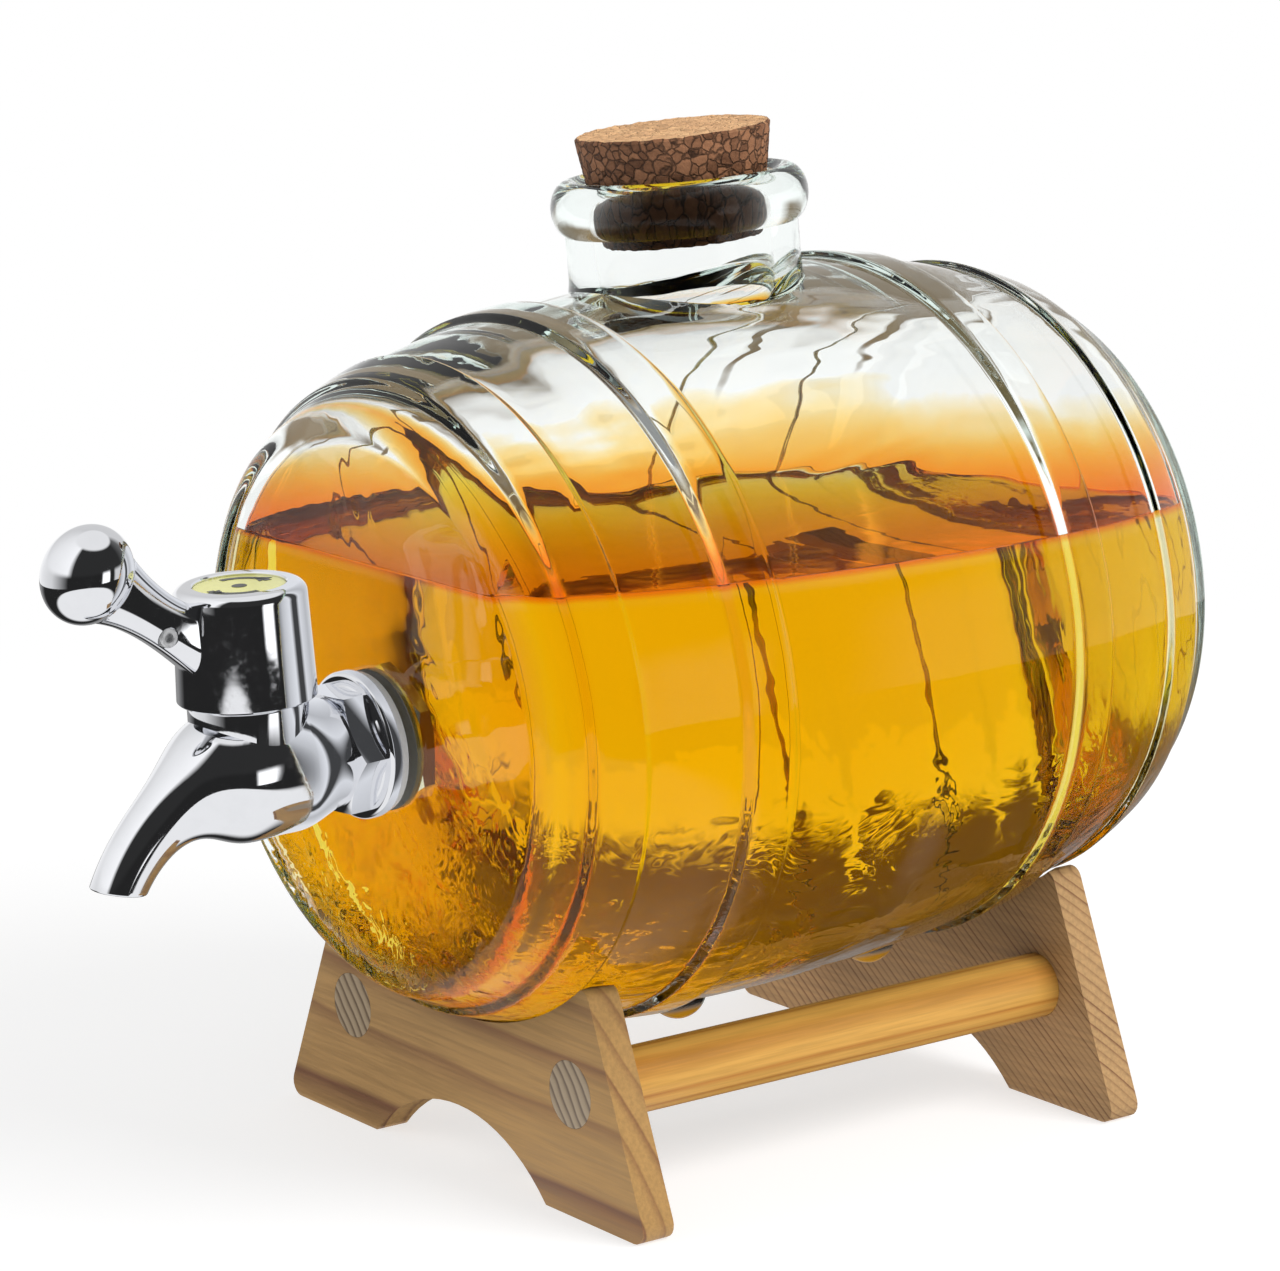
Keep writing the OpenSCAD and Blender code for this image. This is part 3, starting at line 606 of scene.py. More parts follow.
def glass_material(glass, drink):
    """Clear glass, green in its depth, with faint marks of the mould and inside a film of the drink; its
    feet are painted a matt amber, a painted refraction of the drink seen through them.
    """
    material, tree, shader = new_material("clear_glass")
    fill_volume(tree, glass.tint, glass.tint_density)
    height = parts_of(tree, object_place(tree))[2]
    top = maths(tree, "MULTIPLY_ADD", noise(tree, 60, 3), FILM_UNEVEN,
                drink.level + drink.film_height - FILM_UNEVEN / 2)
    above = fade(tree, height, drink.level - FILM_EDGE, drink.level)
    below_top = add(tree, "MapRange", {0: height, 1: top, 2: drink.level}).outputs[0]
    thick = maths(tree, "MULTIPLY", above, below_top)
    wet = add(tree, "Attribute", attribute_name=INSIDE).outputs["Fac"]
    thick = maths(tree, "MULTIPLY", thick, wet)
    film = add(tree, "Gamma", {"Color": drink.film, "Gamma": thick}).outputs[0]
    foot = add(tree, "Attribute", attribute_name=FOOT).outputs["Fac"]
    wetted = maths(tree, "MULTIPLY", wet, fade(tree, height, drink.level, drink.level - WET_EDGE))
    join(shader, {
        "IOR": GLASS_IOR,
        # Painted refraction: the feet lose most of their transmission and show the drink's amber as a matt
        # colour
        "Base Color": blend(tree, foot, film, PAINTED_DRINK_ON_FEET),
        "Transmission Weight": maths(tree, "MULTIPLY_ADD", foot, -FOOT_MATT, 1.0),
        "Specular Tint": blend(tree, wetted, glass.gloss, BLACK),
        "Roughness": fade(tree, noise(tree, 120, 5), 0.62, 0.8, 0.0, 0.04),
    })
    drawn = noise(tree, 55, 2, 0.4, 0.6, stretch=(1, 0.35, 1))
    swirls = maths(tree, "MULTIPLY", noise(tree, 95, 2, 0.45, 1.6, stretch=(1, 0.6, 1)),
                   fade(tree, height, *SWIRL_HEIGHTS))
    bump(shader, maths(tree, "MULTIPLY_ADD", swirls, SWIRL_BUMP, drawn), MOULD_BUMP, 0.5)
    return material


def mark_feet(barrel, glass):
    """Keeps in an attribute how far each point of the glass feet stands out of the barrel's side."""
    foot = barrel.data.attributes.new(FOOT, "FLOAT", "POINT")
    for point in barrel.data.vertices:
        out = math.hypot(point.co.x, point.co.z) - glass.mid_width / 2
        if point.co.z < 0:
            foot.data[point.index].value = clamp(out / (FOOT_FADE * MM))


def mark_inside(barrel):
    """Keeps in an attribute which faces are inside the glass, and leaves the glass one material."""
    inside = barrel.data.attributes.new(INSIDE, "FLOAT", "FACE")
    for face in barrel.data.polygons:
        inside.data[face.index].value = 1.0 if face.material_index else 0.0
        face.material_index = 0
    while len(barrel.data.materials) > 1:
        barrel.data.materials.pop()


class DISPENSER_OT_glass(Operator):
    """Blows the hooped glass barrel with its neck, lip and feet"""
    bl_idname = "dispenser.glass"
    bl_label = "Glass Barrel"

    def execute(self, context):
        glass, drink = context.scene.dispenser_glass, context.scene.dispenser_drink
        inside = bpy.data.materials.new("inside")
        barrel = lathe("barrel_glass", outer_outline(glass), 160)
        settle(barrel, ALONG_Y)
        ripple(barrel, "outer_waves", OUTER_WAVE_SIZE, 1, glass.wave / 5)
        barrel.data.materials.append(glass_material(glass, drink))
        at_neck = TURN @ Matrix.Translation((0, NECK_OFFSET * MM, 0))
        neck = lathe("neck", neck_outline(), 128)
        settle(neck, at_neck)
        combine(barrel, neck, "UNION")
        for side in (-1, 1):
            for end in (-1, 1):
                select_only()
                bpy.ops.mesh.primitive_uv_sphere_add(segments=40, ring_count=24, radius=FOOT_BALL * MM)
                foot = named("foot")
                low = -side_r(FOOT_PLACE, glass) - FOOT_RISE + FOOT_BALL
                settle(foot, Matrix.Rotation(-BARREL_TURN - side * FOOT_ANGLE, 4, "Y")
                       @ Matrix.Translation((0, end * FOOT_PLACE * MM, low * MM)))
                combine(barrel, foot, "UNION")
        space = inside_of_barrel("space", glass)
        mouth = lathe("mouth", mouth_outline(), 128)
        settle(mouth, at_neck)
        for cutter in (space, mouth):
            cutter.data.materials.append(inside)
            apply_modifier(barrel, "BOOLEAN", operation="DIFFERENCE", solver="EXACT", object=cutter,
                           material_mode="TRANSFER")
            bpy.data.objects.remove(cutter)
        hole = rod("hole", SHANK_HOLE_R, *SHANK_HOLE_ENDS, 64)
        settle(hole, Matrix.Translation((0, 0, -TAP_DROP * MM)) @ TOWARDS_TAP)
        combine(barrel, hole, "DIFFERENCE")
        mark_inside(barrel)
        mark_feet(barrel, glass)
        bpy.data.materials.remove(inside)
        settle(barrel, ON_BARREL)
        smooth(barrel, 40)
        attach(barrel, "barrel")
        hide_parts("glass_barrel")
        return {"FINISHED"}


# The drink's skin turns up at the glass in two steps, given by their width and depth in mm
MENISCUS = ((0.8, 0.525), (1.6, 0.175))
DRINK_OVERLAP = 0.12
DRINK_IOR = 1.36
# Depths in metres between which the gloss of the free surface fades out
FREE_DEPTHS = (0.003, 0.0015)
# The shank, nut, washer and seal that stand in the drink, from the barrel's middle towards the tap
FITTING_OUTLINE = ((0, 60.6), (7.8, 60.6), (7.8, 63.1), (11.2, 63.1), (11.2, 68.9), (12.3, 68.9),
                   (12.3, 72.4), (0, 72.4))


class DISPENSER_OT_drink(Operator):
    """Fills the barrel with the amber drink up to its level"""
    bl_idname = "dispenser.drink"
    bl_label = "Drink"

    def execute(self, context):
        glass, drink = context.scene.dispenser_glass, context.scene.dispenser_drink
        liquid = inside_of_barrel("space", glass)
        apply_modifier(liquid, "DISPLACE", strength=DRINK_OVERLAP * MM, mid_level=0.0)
        fitting = lathe("fitting", FITTING_OUTLINE, 64)
        settle(fitting, Matrix.Translation((0, 0, -TAP_DROP * MM)) @ TOWARDS_TAP)
        combine(liquid, fitting, "DIFFERENCE")
        settle(liquid, ON_BARREL)
        select_only(liquid)
        named("drink")
        edit_all(liquid)
        bpy.ops.mesh.bisect(plane_co=(0, 0, drink.level), plane_no=(0, 0, 1), use_fill=True,
                            clear_outer=True)
        bpy.ops.object.mode_set(mode="OBJECT")
        for face in liquid.data.polygons:
            face.select = face.normal.z > 0.99 and abs(face.center.z - drink.level) < 1e-5
        bpy.ops.object.mode_set(mode="EDIT")
        bpy.ops.mesh.select_mode(type="FACE")
        for wide, deep in MENISCUS:
            bpy.ops.mesh.inset(thickness=wide * MM, depth=-deep * MM)
        bpy.ops.mesh.select_mode(type="VERT")
        smooth(liquid, 50)
        material, tree, shader = new_material("amber_drink")
        fill_volume(tree, drink.tint, drink.density)
        height = parts_of(tree, object_place(tree))[2]
        free = fade(tree, height, *(drink.level - depth for depth in FREE_DEPTHS))
        join(shader, {"Base Color": WHITE, "IOR": DRINK_IOR, "Transmission Weight": 1.0, "Roughness": 0.0,
                      "Specular Tint": blend(tree, free, BLACK, WHITE)})
        bump(shader, noise(tree, 70, 2), 0.0004, 0.4)
        dress(liquid, material, "barrel")
        return {"FINISHED"}


# The cork, in mm as in the CAD source
CORK_LEAN = math.radians(1.4)
CORK_BOTTOM_R = 14.63
CORK_MOUTH_R = 15.7
CORK_TOP_R = 17.8
CORK_LENGTH = 20.0
CORK_RISE = 13.1
CORK_CHAMFER = 0.6
# Waver of the chips, and size, depth and level of the pits, all but the level in metres
CHIP_WARP = 0.0016
PIT_SIZE = 0.0016
PIT_DEPTH = 0.0006
PIT_LEVEL = 0.85


def cork_outline():
    """The cork's chamfered cone, in small steps so that its skin can be pitted."""
    mouth = CORK_LENGTH - CORK_RISE
    low = [(r, 0) for r in steps(0, CORK_BOTTOM_R - CORK_CHAMFER, 26)]
    side = [(CORK_BOTTOM_R + (CORK_MOUTH_R - CORK_BOTTOM_R) * i / 12,
             CORK_CHAMFER + (mouth - CORK_CHAMFER) * i / 12) for i in range(12)]
    high = CORK_LENGTH - CORK_CHAMFER
    side += [(CORK_MOUTH_R + (CORK_TOP_R - CORK_MOUTH_R) * i / 24, mouth + (high - mouth) * i / 24)
             for i in range(25)]
    top = [(r, CORK_LENGTH) for r in steps(CORK_TOP_R - CORK_CHAMFER, 0, 30)]
    return low + side + top


def cork_material(cork):
    """Pressed cork: chips of many browns with dark gaps, and the top, which faces up, painted paler as if
    lit from above.
    """
    material, tree, shader = new_material("pressed_cork")
    bent = waver(tree, place_of(tree), 420.0, (CHIP_WARP,) * 3)
    chips = add(tree, "TexVoronoi", {"Vector": bent, "Scale": 1 / cork.chip})
    gaps = add(tree, "TexVoronoi", {"Vector": bent, "Scale": 1 / cork.chip}, feature="DISTANCE_TO_EDGE")
    shade = add(tree, "SeparateColor", {0: chips.outputs["Color"]}).outputs[0]
    fine = noise(tree, 1500, 5)
    share = maths(tree, "MULTIPLY_ADD", fine, 0.5, maths(tree, "MULTIPLY", shade, 0.55))
    side = ramp(tree, share, [(0.12, cork.dark), (0.45, mixed(cork.dark, cork.light, 0.5)),
                              (0.85, cork.light)])
    gap = fade(tree, gaps.outputs["Distance"], 0.0, 0.12, 0.35, 1.0)
    side = blend(tree, 1.0, side, gap, "MULTIPLY")
    # Painted light: where the cork faces up it takes a paler colour, as if lit from above
    pale = tuple(min(1.0, c * 1.25) for c in cork.top)
    top = ramp(tree, maths(tree, "MULTIPLY_ADD", fine, 0.35, maths(tree, "MULTIPLY", shade, 0.4)),
               [(0.1, tuple(c * 0.62 for c in cork.top)), (0.4, cork.top), (0.8, pale)])
    up = parts_of(tree, add(tree, "NewGeometry").outputs["Normal"])[2]
    join(shader, {"Base Color": blend(tree, fade(tree, up, 0.75, 0.9), side, top), "Roughness": 0.85})
    bump(shader, maths(tree, "MULTIPLY_ADD", fine, 0.6, gap), 0.0006, 0.8)
    return material


class DISPENSER_OT_cork(Operator):
    """Turns the cork stopper and pits its skin"""
    bl_idname = "dispenser.cork"
    bl_label = "Cork Stopper"

    def execute(self, context):
        cork = lathe("cork", cork_outline(), 150)
        ripple(cork, "cork_pits", PIT_SIZE, 2, PIT_DEPTH, PIT_LEVEL)
        settle(cork, TURNED @ Matrix.Translation((0, NECK_OFFSET * MM, LIP_MID * MM))
               @ Matrix.Rotation(CORK_LEAN, 4, "X")
               @ Matrix.Translation((0, 0, (CORK_RISE - CORK_LENGTH) * MM)))
        dress(cork, cork_material(context.scene.dispenser_cork), "cork")
        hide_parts("cork_stopper")
        return {"FINISHED"}


# The dowels, in mm as in the CAD source, then their rings and the waver of these in metres, and their tones
DOWEL_X = 33.8
DOWEL_Z = 22.0
DOWEL_R = 6.0
DOWEL_RING = 0.0021
DOWEL_WAVER = 0.0022
DOWEL_DARK = (0.72, 0.55, 0.42)
DOWEL_GLOSS = (0.28, 0.42)
END_PALE = (0.42, 0.32, 0.21)
END_MID = (0.36, 0.27, 0.17)
END_DARK = (0.13, 0.085, 0.05)

# How the plates were sawn from the log, as shift and turn of its pith, and the front plate's glue line
FRONT_PITH = ((0, 0.2, 0.055), (0.06, 0.03, 0.02))
REAR_PITH = ((0, -0.02, 0.08), (0.0, -0.6, 0.03))
REAR_RING_SHARE = 0.28
GLUE_HEIGHT = 0.046
NO_GLUE = 1.0
PINE_GLOSS = (0.5, 0.65)
FLAT_ANGLE = math.radians(0.5)
SHARP_ANGLE = math.radians(50)
DOWEL_MARGIN = 0.5


def pine_material(name, pale, dark, ring, pith, glue):
    """Pine with growth rings round a far pith along X, fine pores along the grain and a glue line."""
    material, tree, shader = new_material(name)
    centre, lean = pith
    place = place_of(tree, turn=lean, shift=centre)
    bent = waver(tree, place, 26.0, (0.0, ring, ring), (0.35, 1, 1))
    _, across, up = parts_of(tree, bent)
    squares = maths(tree, "ADD", maths(tree, "POWER", across, 2.0), maths(tree, "POWER", up, 2.0))
    count = maths(tree, "DIVIDE", maths(tree, "SQRT", squares), ring)
    year = maths(tree, "FRACT", count)
    wood = ramp(tree, year, [(0.0, pale), (0.5, pale), (0.7, mixed(pale, dark, 0.4)), (0.87, dark),
                             (0.96, pale), (1.0, pale)])
    number = add(tree, "TexWhiteNoise", {"W": maths(tree, "FLOOR", count)},
                 noise_dimensions="1D").outputs[0]
    strength = fade(tree, number, 0.0, 1.0, 0.5, 1.0)
    height = parts_of(tree, object_place(tree))[2]
    strength = maths(tree, "MULTIPLY", strength, fade(tree, height, glue, glue + 0.0002, 1.0, 0.25))
    wood = blend(tree, strength, pale, wood)
    from_glue = maths(tree, "ABSOLUTE", maths(tree, "SUBTRACT", height, glue))
    seam = fade(tree, from_glue, 0.0002, 0.0005, 0.6, 0.0)
    wood = blend(tree, seam, wood, dark)
    fibre = noise(tree, 1400, 3, 0.6, stretch=(0.04, 1, 1))
    tone = noise(tree, 45, 3, stretch=(0.3, 1, 1))
    shade = maths(tree, "ADD", fade(tree, fibre, 0.3, 0.7, 0.86, 1.06),
                  fade(tree, tone, 0.3, 0.7, -0.07, 0.07))
    join(shader, {"Base Color": blend(tree, 1.0, wood, shade, "MULTIPLY"),
                  "Roughness": fade(tree, fibre, 0.2, 0.8, *PINE_GLOSS)})
    bump(shader, maths(tree, "MULTIPLY_ADD", year, 0.4, fibre), 0.00015, 0.5)
    return material


def dowel_material(stand, node):
    """Turned pine with its grain along the dowel and dull, striped end grain."""
    material, tree, shader = new_material(node + "_pine")
    across, _, up = parts_of(tree, waver(tree, place_of(tree), 90.0, (DOWEL_WAVER, 0.0, DOWEL_WAVER),
                                         (1, 0.06, 1)))
    slant = maths(tree, "MULTIPLY_ADD", across, 0.8, maths(tree, "MULTIPLY", up, 0.6))
    year = maths(tree, "FRACT", maths(tree, "DIVIDE", slant, DOWEL_RING))
    pale, dark = stand.dowel, tuple(c * k for c, k in zip(stand.dowel, DOWEL_DARK))
    wood = ramp(tree, year, [(0.0, pale), (0.5, pale), (0.82, dark), (1.0, pale)])
    fibre = noise(tree, 1500, 3, 0.6, stretch=(1, 0.03, 1))
    wood = blend(tree, 1.0, wood, fade(tree, fibre, 0.3, 0.7, 0.85, 1.05), "MULTIPLY")
    end = ramp(tree, year, [(0.0, END_PALE), (0.45, END_MID), (0.8, END_DARK), (1.0, END_PALE)])
    facing = parts_of(tree, add(tree, "NewGeometry").outputs["Normal"])[1]
    is_end = fade(tree, maths(tree, "ABSOLUTE", facing), 0.8, 0.95)
    join(shader, {"Base Color": blend(tree, is_end, wood, end),
                  "Roughness": fade(tree, fibre, 0.2, 0.8, *DOWEL_GLOSS)})
    bump(shader, fibre, 0.0001, 0.4)
    return material


def soften_plate(plate, edge):
    """Joins the plate's loose triangles into whole faces and rounds its outer edges."""
    edit_all(plate)
    bpy.ops.mesh.remove_doubles(threshold=PLATE_MERGE)
    bpy.ops.mesh.dissolve_limited(angle_limit=FLAT_ANGLE)
    bpy.ops.mesh.select_all(action="DESELECT")
    bpy.ops.mesh.select_mode(type="EDGE")
    bpy.ops.mesh.edges_select_sharp(sharpness=SHARP_ANGLE)
    bpy.ops.object.mode_set(mode="OBJECT")
    for line in plate.data.edges:
        middle = sum((plate.data.vertices[i].co for i in line.vertices), Vector()) / 2
        from_dowel = math.hypot(abs(middle.x) - DOWEL_X * MM, middle.z - DOWEL_Z * MM)
        if from_dowel < (DOWEL_R + DOWEL_MARGIN) * MM:
            line.select = False
    bpy.ops.object.mode_set(mode="EDIT")
    bpy.ops.mesh.bevel(offset=edge, segments=3, affect="EDGES", clamp_overlap=True)
    bpy.ops.mesh.select_mode(type="VERT")
    smooth(plate, 28)


class DISPENSER_OT_stand(Operator):
    """Builds the pine stand: two cradle plates with softened edges and two dowels"""
    bl_idname = "dispenser.stand"
    bl_label = "Pine Stand"

    def execute(self, context):
        stand = context.scene.dispenser_stand
        front_pine = pine_material("front_pine", stand.pale, stand.dark, stand.ring, FRONT_PITH,
                                   GLUE_HEIGHT)
        rear_pine = pine_material("rear_pine", stand.rear, stand.dark, stand.ring * REAR_RING_SHARE,
                                  REAR_PITH, NO_GLUE)
        for node, name, pine in (("front_plate", "front_cradle", front_pine),
                                 ("rear_plate", "rear_cradle", rear_pine)):
            plate = bpy.data.objects.new(name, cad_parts[node].data.copy())
            context.scene.collection.objects.link(plate)
            soften_plate(plate, stand.edge)
            dress(plate, pine, "stand")
            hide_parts(node)
        for node in ("left_dowel", "right_dowel"):
            dress_node(node, dowel_material(stand, node))
        return {"FINISHED"}


# Outlines of the tap, in mm, measured from the valve's axis and the tap's axis, as in the CAD source

VALVE_REACH = 19.8
HEX_FLATS = 20.4
HEX_LENGTH = 5.2
HEX_BEVEL = 0.9
HEX_SUNK = 1.2
FLANGE_R = 13.0
FLANGE_T = 2.4
SHANK_R = 8.0
SHANK_LONG = 19.1
TUBE_R = 9.8
BELLY_R = 12.1
OUTLET_R = 4.85
WATERWAY_R = 3.8
WATERWAY_ENDS = (2, 42)
WATERWAY_SHARES = (0.94, 0.88, 0.8, 0.72, 0.64, 0.56)
OUTLET_LIP = ((0.2, 4.76), (0.32, 4.5), (0.32, 4.2), (0.2, 3.92), (0.0, WATERWAY_R))
SPOUT_BACK = 5.7
SPOUT_CURVE = ((-5.7, 0.0), (14.0, 1.2), (23.4367, -7.3284), (27.8, -15.2))
SPOUT_NECK_SHARE = 0.38
OUTLET_HEADING = math.radians(-77)
COLLAR_R = 10.35
COLLAR_LOW = -3
COLLAR_TOP = 12.4
SPIGOT_R = 9.5
SPIGOT_TOP = 18.0
PLUG_BORE_R = 6.5
PLUG_BORE_LOW = -8.8
POCKET_R = 8.28
POCKET_LOW = 14.8
POCKET_HIGH = 20
CAP_LOW = 12.7
CAP_HIGH = 32.6
CAP_R = 12.0
CAP_TOP_R = 11.4
CAP_RIM = 2.0
CAP_ROOF = 18.3
CAP_EDGE = 0.25
CAP_ROOM = 0.3
SIGN_R = 7.95
SIGN_FLOOR = 31.7
DRIVE_HALF = 3.55
DRIVE_TOP = 27.45
LEVER_CURVE = ((6.4, 23.9), (13.0, 25.9), (16.4, 29.8), (28.9, 39.3))
LEVER_SHARE = 0.88
# Half width and half height of the lever at its waist, and what the root and the knob's end add
LEVER_WIDE = (3.5, 1.6, 1.2)
LEVER_TALL = (4.2, 3.7, 4.6)
LEVER_CORNER = 0.72
LEVER_CORNER_STEPS = 10
KNOB_HALF = (7.6, 7.6, 8.6)
KNOB_HEADING = math.radians(37.23)
STUD_SHARE = 0.55
STUD_LOW = 2.8
STUD_R = 1.7
STUD_DEEP = 1.6
STUD_TOP = 1.8
STUD_GAP = 0.1
STUD_HOLE = 8
SCREW_WELL = ((0, 26), (1.7, 26), (1.7, 30), (3.1, 30), (3.1, 33), (0, 33))

# The printed arrows on the sign
ARROW_R = 5.6
ARROW_WIDE = 1.2
ARROW_START = 0.3
ARROW_HEAD = 1.9
ARROW_SWEEP = math.radians(95)
ARROW_HEAD_AT = math.radians(105)
DOT_R = 1.3
INK_LIFT = 0.41
INK_THICK = 0.06


def on_curve(points, share):
    """A point on a cubic curve and its heading."""
    a, b, c, d = (Vector(p) for p in points)
    rest = 1 - share
    point = rest ** 3 * a + 3 * rest ** 2 * share * b + 3 * rest * share ** 2 * c + share ** 3 * d
    way = rest ** 2 * (b - a) + 2 * rest * share * (c - b) + share ** 2 * (d - c)
    return point, math.atan2(way.y, way.x)


def spout_ring(share, radius):
    """A ring of the spout, turned towards the outlet's cut at the end."""
    point, heading = on_curve(SPOUT_CURVE, share)
    late = share ** 4
    return point.x, point.y, heading * (1 - late) + OUTLET_HEADING * late, radius, radius


def tap_rings():
    """Rings from the hexagon through the swelling to the outlet, then back up inside the spout."""
    back = VALVE_REACH - HEX_LENGTH + 1
    rings = []
    for share in steps(0, 1, 18)[:-1]:
        radius = TUBE_R + (BELLY_R - TUBE_R) * (1 - math.cos(math.pi * share)) / 2
        rings.append((-(back + (SPOUT_BACK - back) * share), 0.0, 0.0, radius, radius))
    for share in steps(0, 1, 56):
        radius = OUTLET_R + (BELLY_R - OUTLET_R) / (1 + (share / SPOUT_NECK_SHARE) ** 5)
        rings.append(spout_ring(share, radius))
    lip_x, lip_z = math.cos(OUTLET_HEADING), math.sin(OUTLET_HEADING)
    end_x, end_z = SPOUT_CURVE[3]
    for out, radius in OUTLET_LIP:
        rings.append((end_x + out * lip_x, end_z + out * lip_z, OUTLET_HEADING, radius, radius))
    return rings + [spout_ring(share, WATERWAY_R) for share in WATERWAY_SHARES]


def chrome_material(name, chrome, rough=0.035):
    """Chrome plate over a polished casting: a mirror with faint waves and wiped marks."""
    material, tree, shader = new_material(name)
    dull = fade(tree, noise(tree, 300, 3), 0.35, 0.75, 0.0, 0.12)
    join(shader, {"Base Color": blend(tree, dull, chrome, [c * 0.8 for c in chrome]),
                  "Metallic": 1.0,
                  "Roughness": fade(tree, noise(tree, 700, 4), 0.45, 0.8, rough, rough + 0.07)})
    bump(shader, noise(tree, 190, 2), 0.00003, 0.25)
    return material


def hexagon(name, flats, low, high):
    """A hexagon along Z whose top corners are turned off."""
    corner = flats / 2 / math.cos(math.radians(30))
    select_only()
    bpy.ops.mesh.primitive_cylinder_add(vertices=6, radius=corner * MM, depth=(high - low) * MM,
                                        location=(0, 0, (high + low) / 2 * MM),
                                        rotation=(0, 0, math.radians(30)))
    piece = named(name)
    bpy.ops.object.transform_apply(location=True, rotation=True)
    cone = lathe("cone", [(0, low - 1), (corner, low - 1), (corner, high - HEX_BEVEL), (flats / 2, high),
                          (0, high)], 96)
    combine(piece, cone, "INTERSECT")
    return piece


class DISPENSER_OT_tap(Operator):
    """Casts the tap body: flange, hexagon, swelling tube, spout and collar"""
    bl_idname = "dispenser.tap"
    bl_label = "Tap Body"

    def execute(self, context):
        tap = context.scene.dispenser_tap
        body = sweep("tap_casting", tap_rings(), lambda: round_loop(tap.sides))
        close_start(body, lambda co: co.y > (VALVE_REACH - HEX_LENGTH + 0.9) * MM)
        finish_mesh(body, 40)
        collar = lathe("collar", [(0, COLLAR_LOW), (COLLAR_R, COLLAR_LOW), (COLLAR_R, COLLAR_TOP - 0.5),
                                  (COLLAR_R - 0.15, COLLAR_TOP - 0.15), (COLLAR_R - 0.5, COLLAR_TOP),
                                  (SPIGOT_R, COLLAR_TOP), (SPIGOT_R, SPIGOT_TOP - 0.3),
                                  (SPIGOT_R - 0.3, SPIGOT_TOP), (0, SPIGOT_TOP)], tap.sides)
        combine(body, collar, "UNION")
        nut = hexagon("nut", HEX_FLATS, -HEX_SUNK, HEX_LENGTH)
        settle(nut, Matrix.Translation((0, VALVE_REACH * MM, 0)) @ TOWARDS_TAP)
        combine(body, nut, "UNION")
        rim = FLANGE_T / 3
        flange = [(0, 0), (FLANGE_R - 2.6, 0), (FLANGE_R - 2.3, 0.25), (FLANGE_R - 1.9, 0.25),
                  (FLANGE_R - 1.6, 0)]
        flange += arc(FLANGE_R - rim, rim, rim, rim, -math.pi / 2, 0, 8)
        flange += [(FLANGE_R, FLANGE_T - 0.2), (FLANGE_R - 0.2, FLANGE_T), (SHANK_R, FLANGE_T)]
        flange += [(SHANK_R, SHANK_LONG - 1), (SHANK_R - 1, SHANK_LONG), (0, SHANK_LONG)]
        shank = lathe("shank", flange, tap.sides)
        settle(shank, Matrix.Translation((0, VALVE_REACH * MM, 0)) @ ALONG_Y)
        combine(body, shank, "UNION")
        bore = lathe("bore", [(0, PLUG_BORE_LOW), (PLUG_BORE_R, PLUG_BORE_LOW), (PLUG_BORE_R, POCKET_LOW),
                              (POCKET_R, POCKET_LOW), (POCKET_R, POCKET_HIGH), (0, POCKET_HIGH)], tap.sides)
        combine(body, bore, "DIFFERENCE")
        way = rod("way", WATERWAY_R, *WATERWAY_ENDS, 48)
        settle(way, ALONG_Y)
        combine(body, way, "DIFFERENCE")
        settle(body, ON_VALVE)
        smooth(body, 38)
        dress(body, chrome_material("tap_chrome", tap.chrome), "barrel")
        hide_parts("tap_body")
        return {"FINISHED"}


def lever_ring(share):
    """A ring of the lever: thick at the cap, waisted, and swelling again into the knob."""
    point, heading = on_curve(LEVER_CURVE, share)
    wide, tall = (waist + root * (1 - share) ** 4 + knob * share ** 6
                  for waist, root, knob in (LEVER_WIDE, LEVER_TALL))
    return point.x, point.y, heading, wide, tall


def cap_outline():
    """The cap: hollow below, slightly tapered, with a rounded rim round the sign's seat."""
    room = SPIGOT_R + CAP_ROOM
    low, high = CAP_LOW + CAP_EDGE, CAP_HIGH - CAP_RIM
    outline = [(0, CAP_ROOF), (room, CAP_ROOF), (room, CAP_LOW), (CAP_R - CAP_EDGE, CAP_LOW), (CAP_R, low)]
    outline += [(CAP_R + (CAP_TOP_R - CAP_R) * i / 8, low + (high - low) * i / 8) for i in range(1, 8)]
    outline += arc(CAP_TOP_R - CAP_RIM, high, CAP_RIM, CAP_RIM, 0, math.pi / 2, 12)
    return outline + [(SIGN_R + CAP_EDGE, CAP_HIGH), (SIGN_R, CAP_HIGH - CAP_EDGE), (SIGN_R, SIGN_FLOOR),
                      (0, SIGN_FLOOR)]


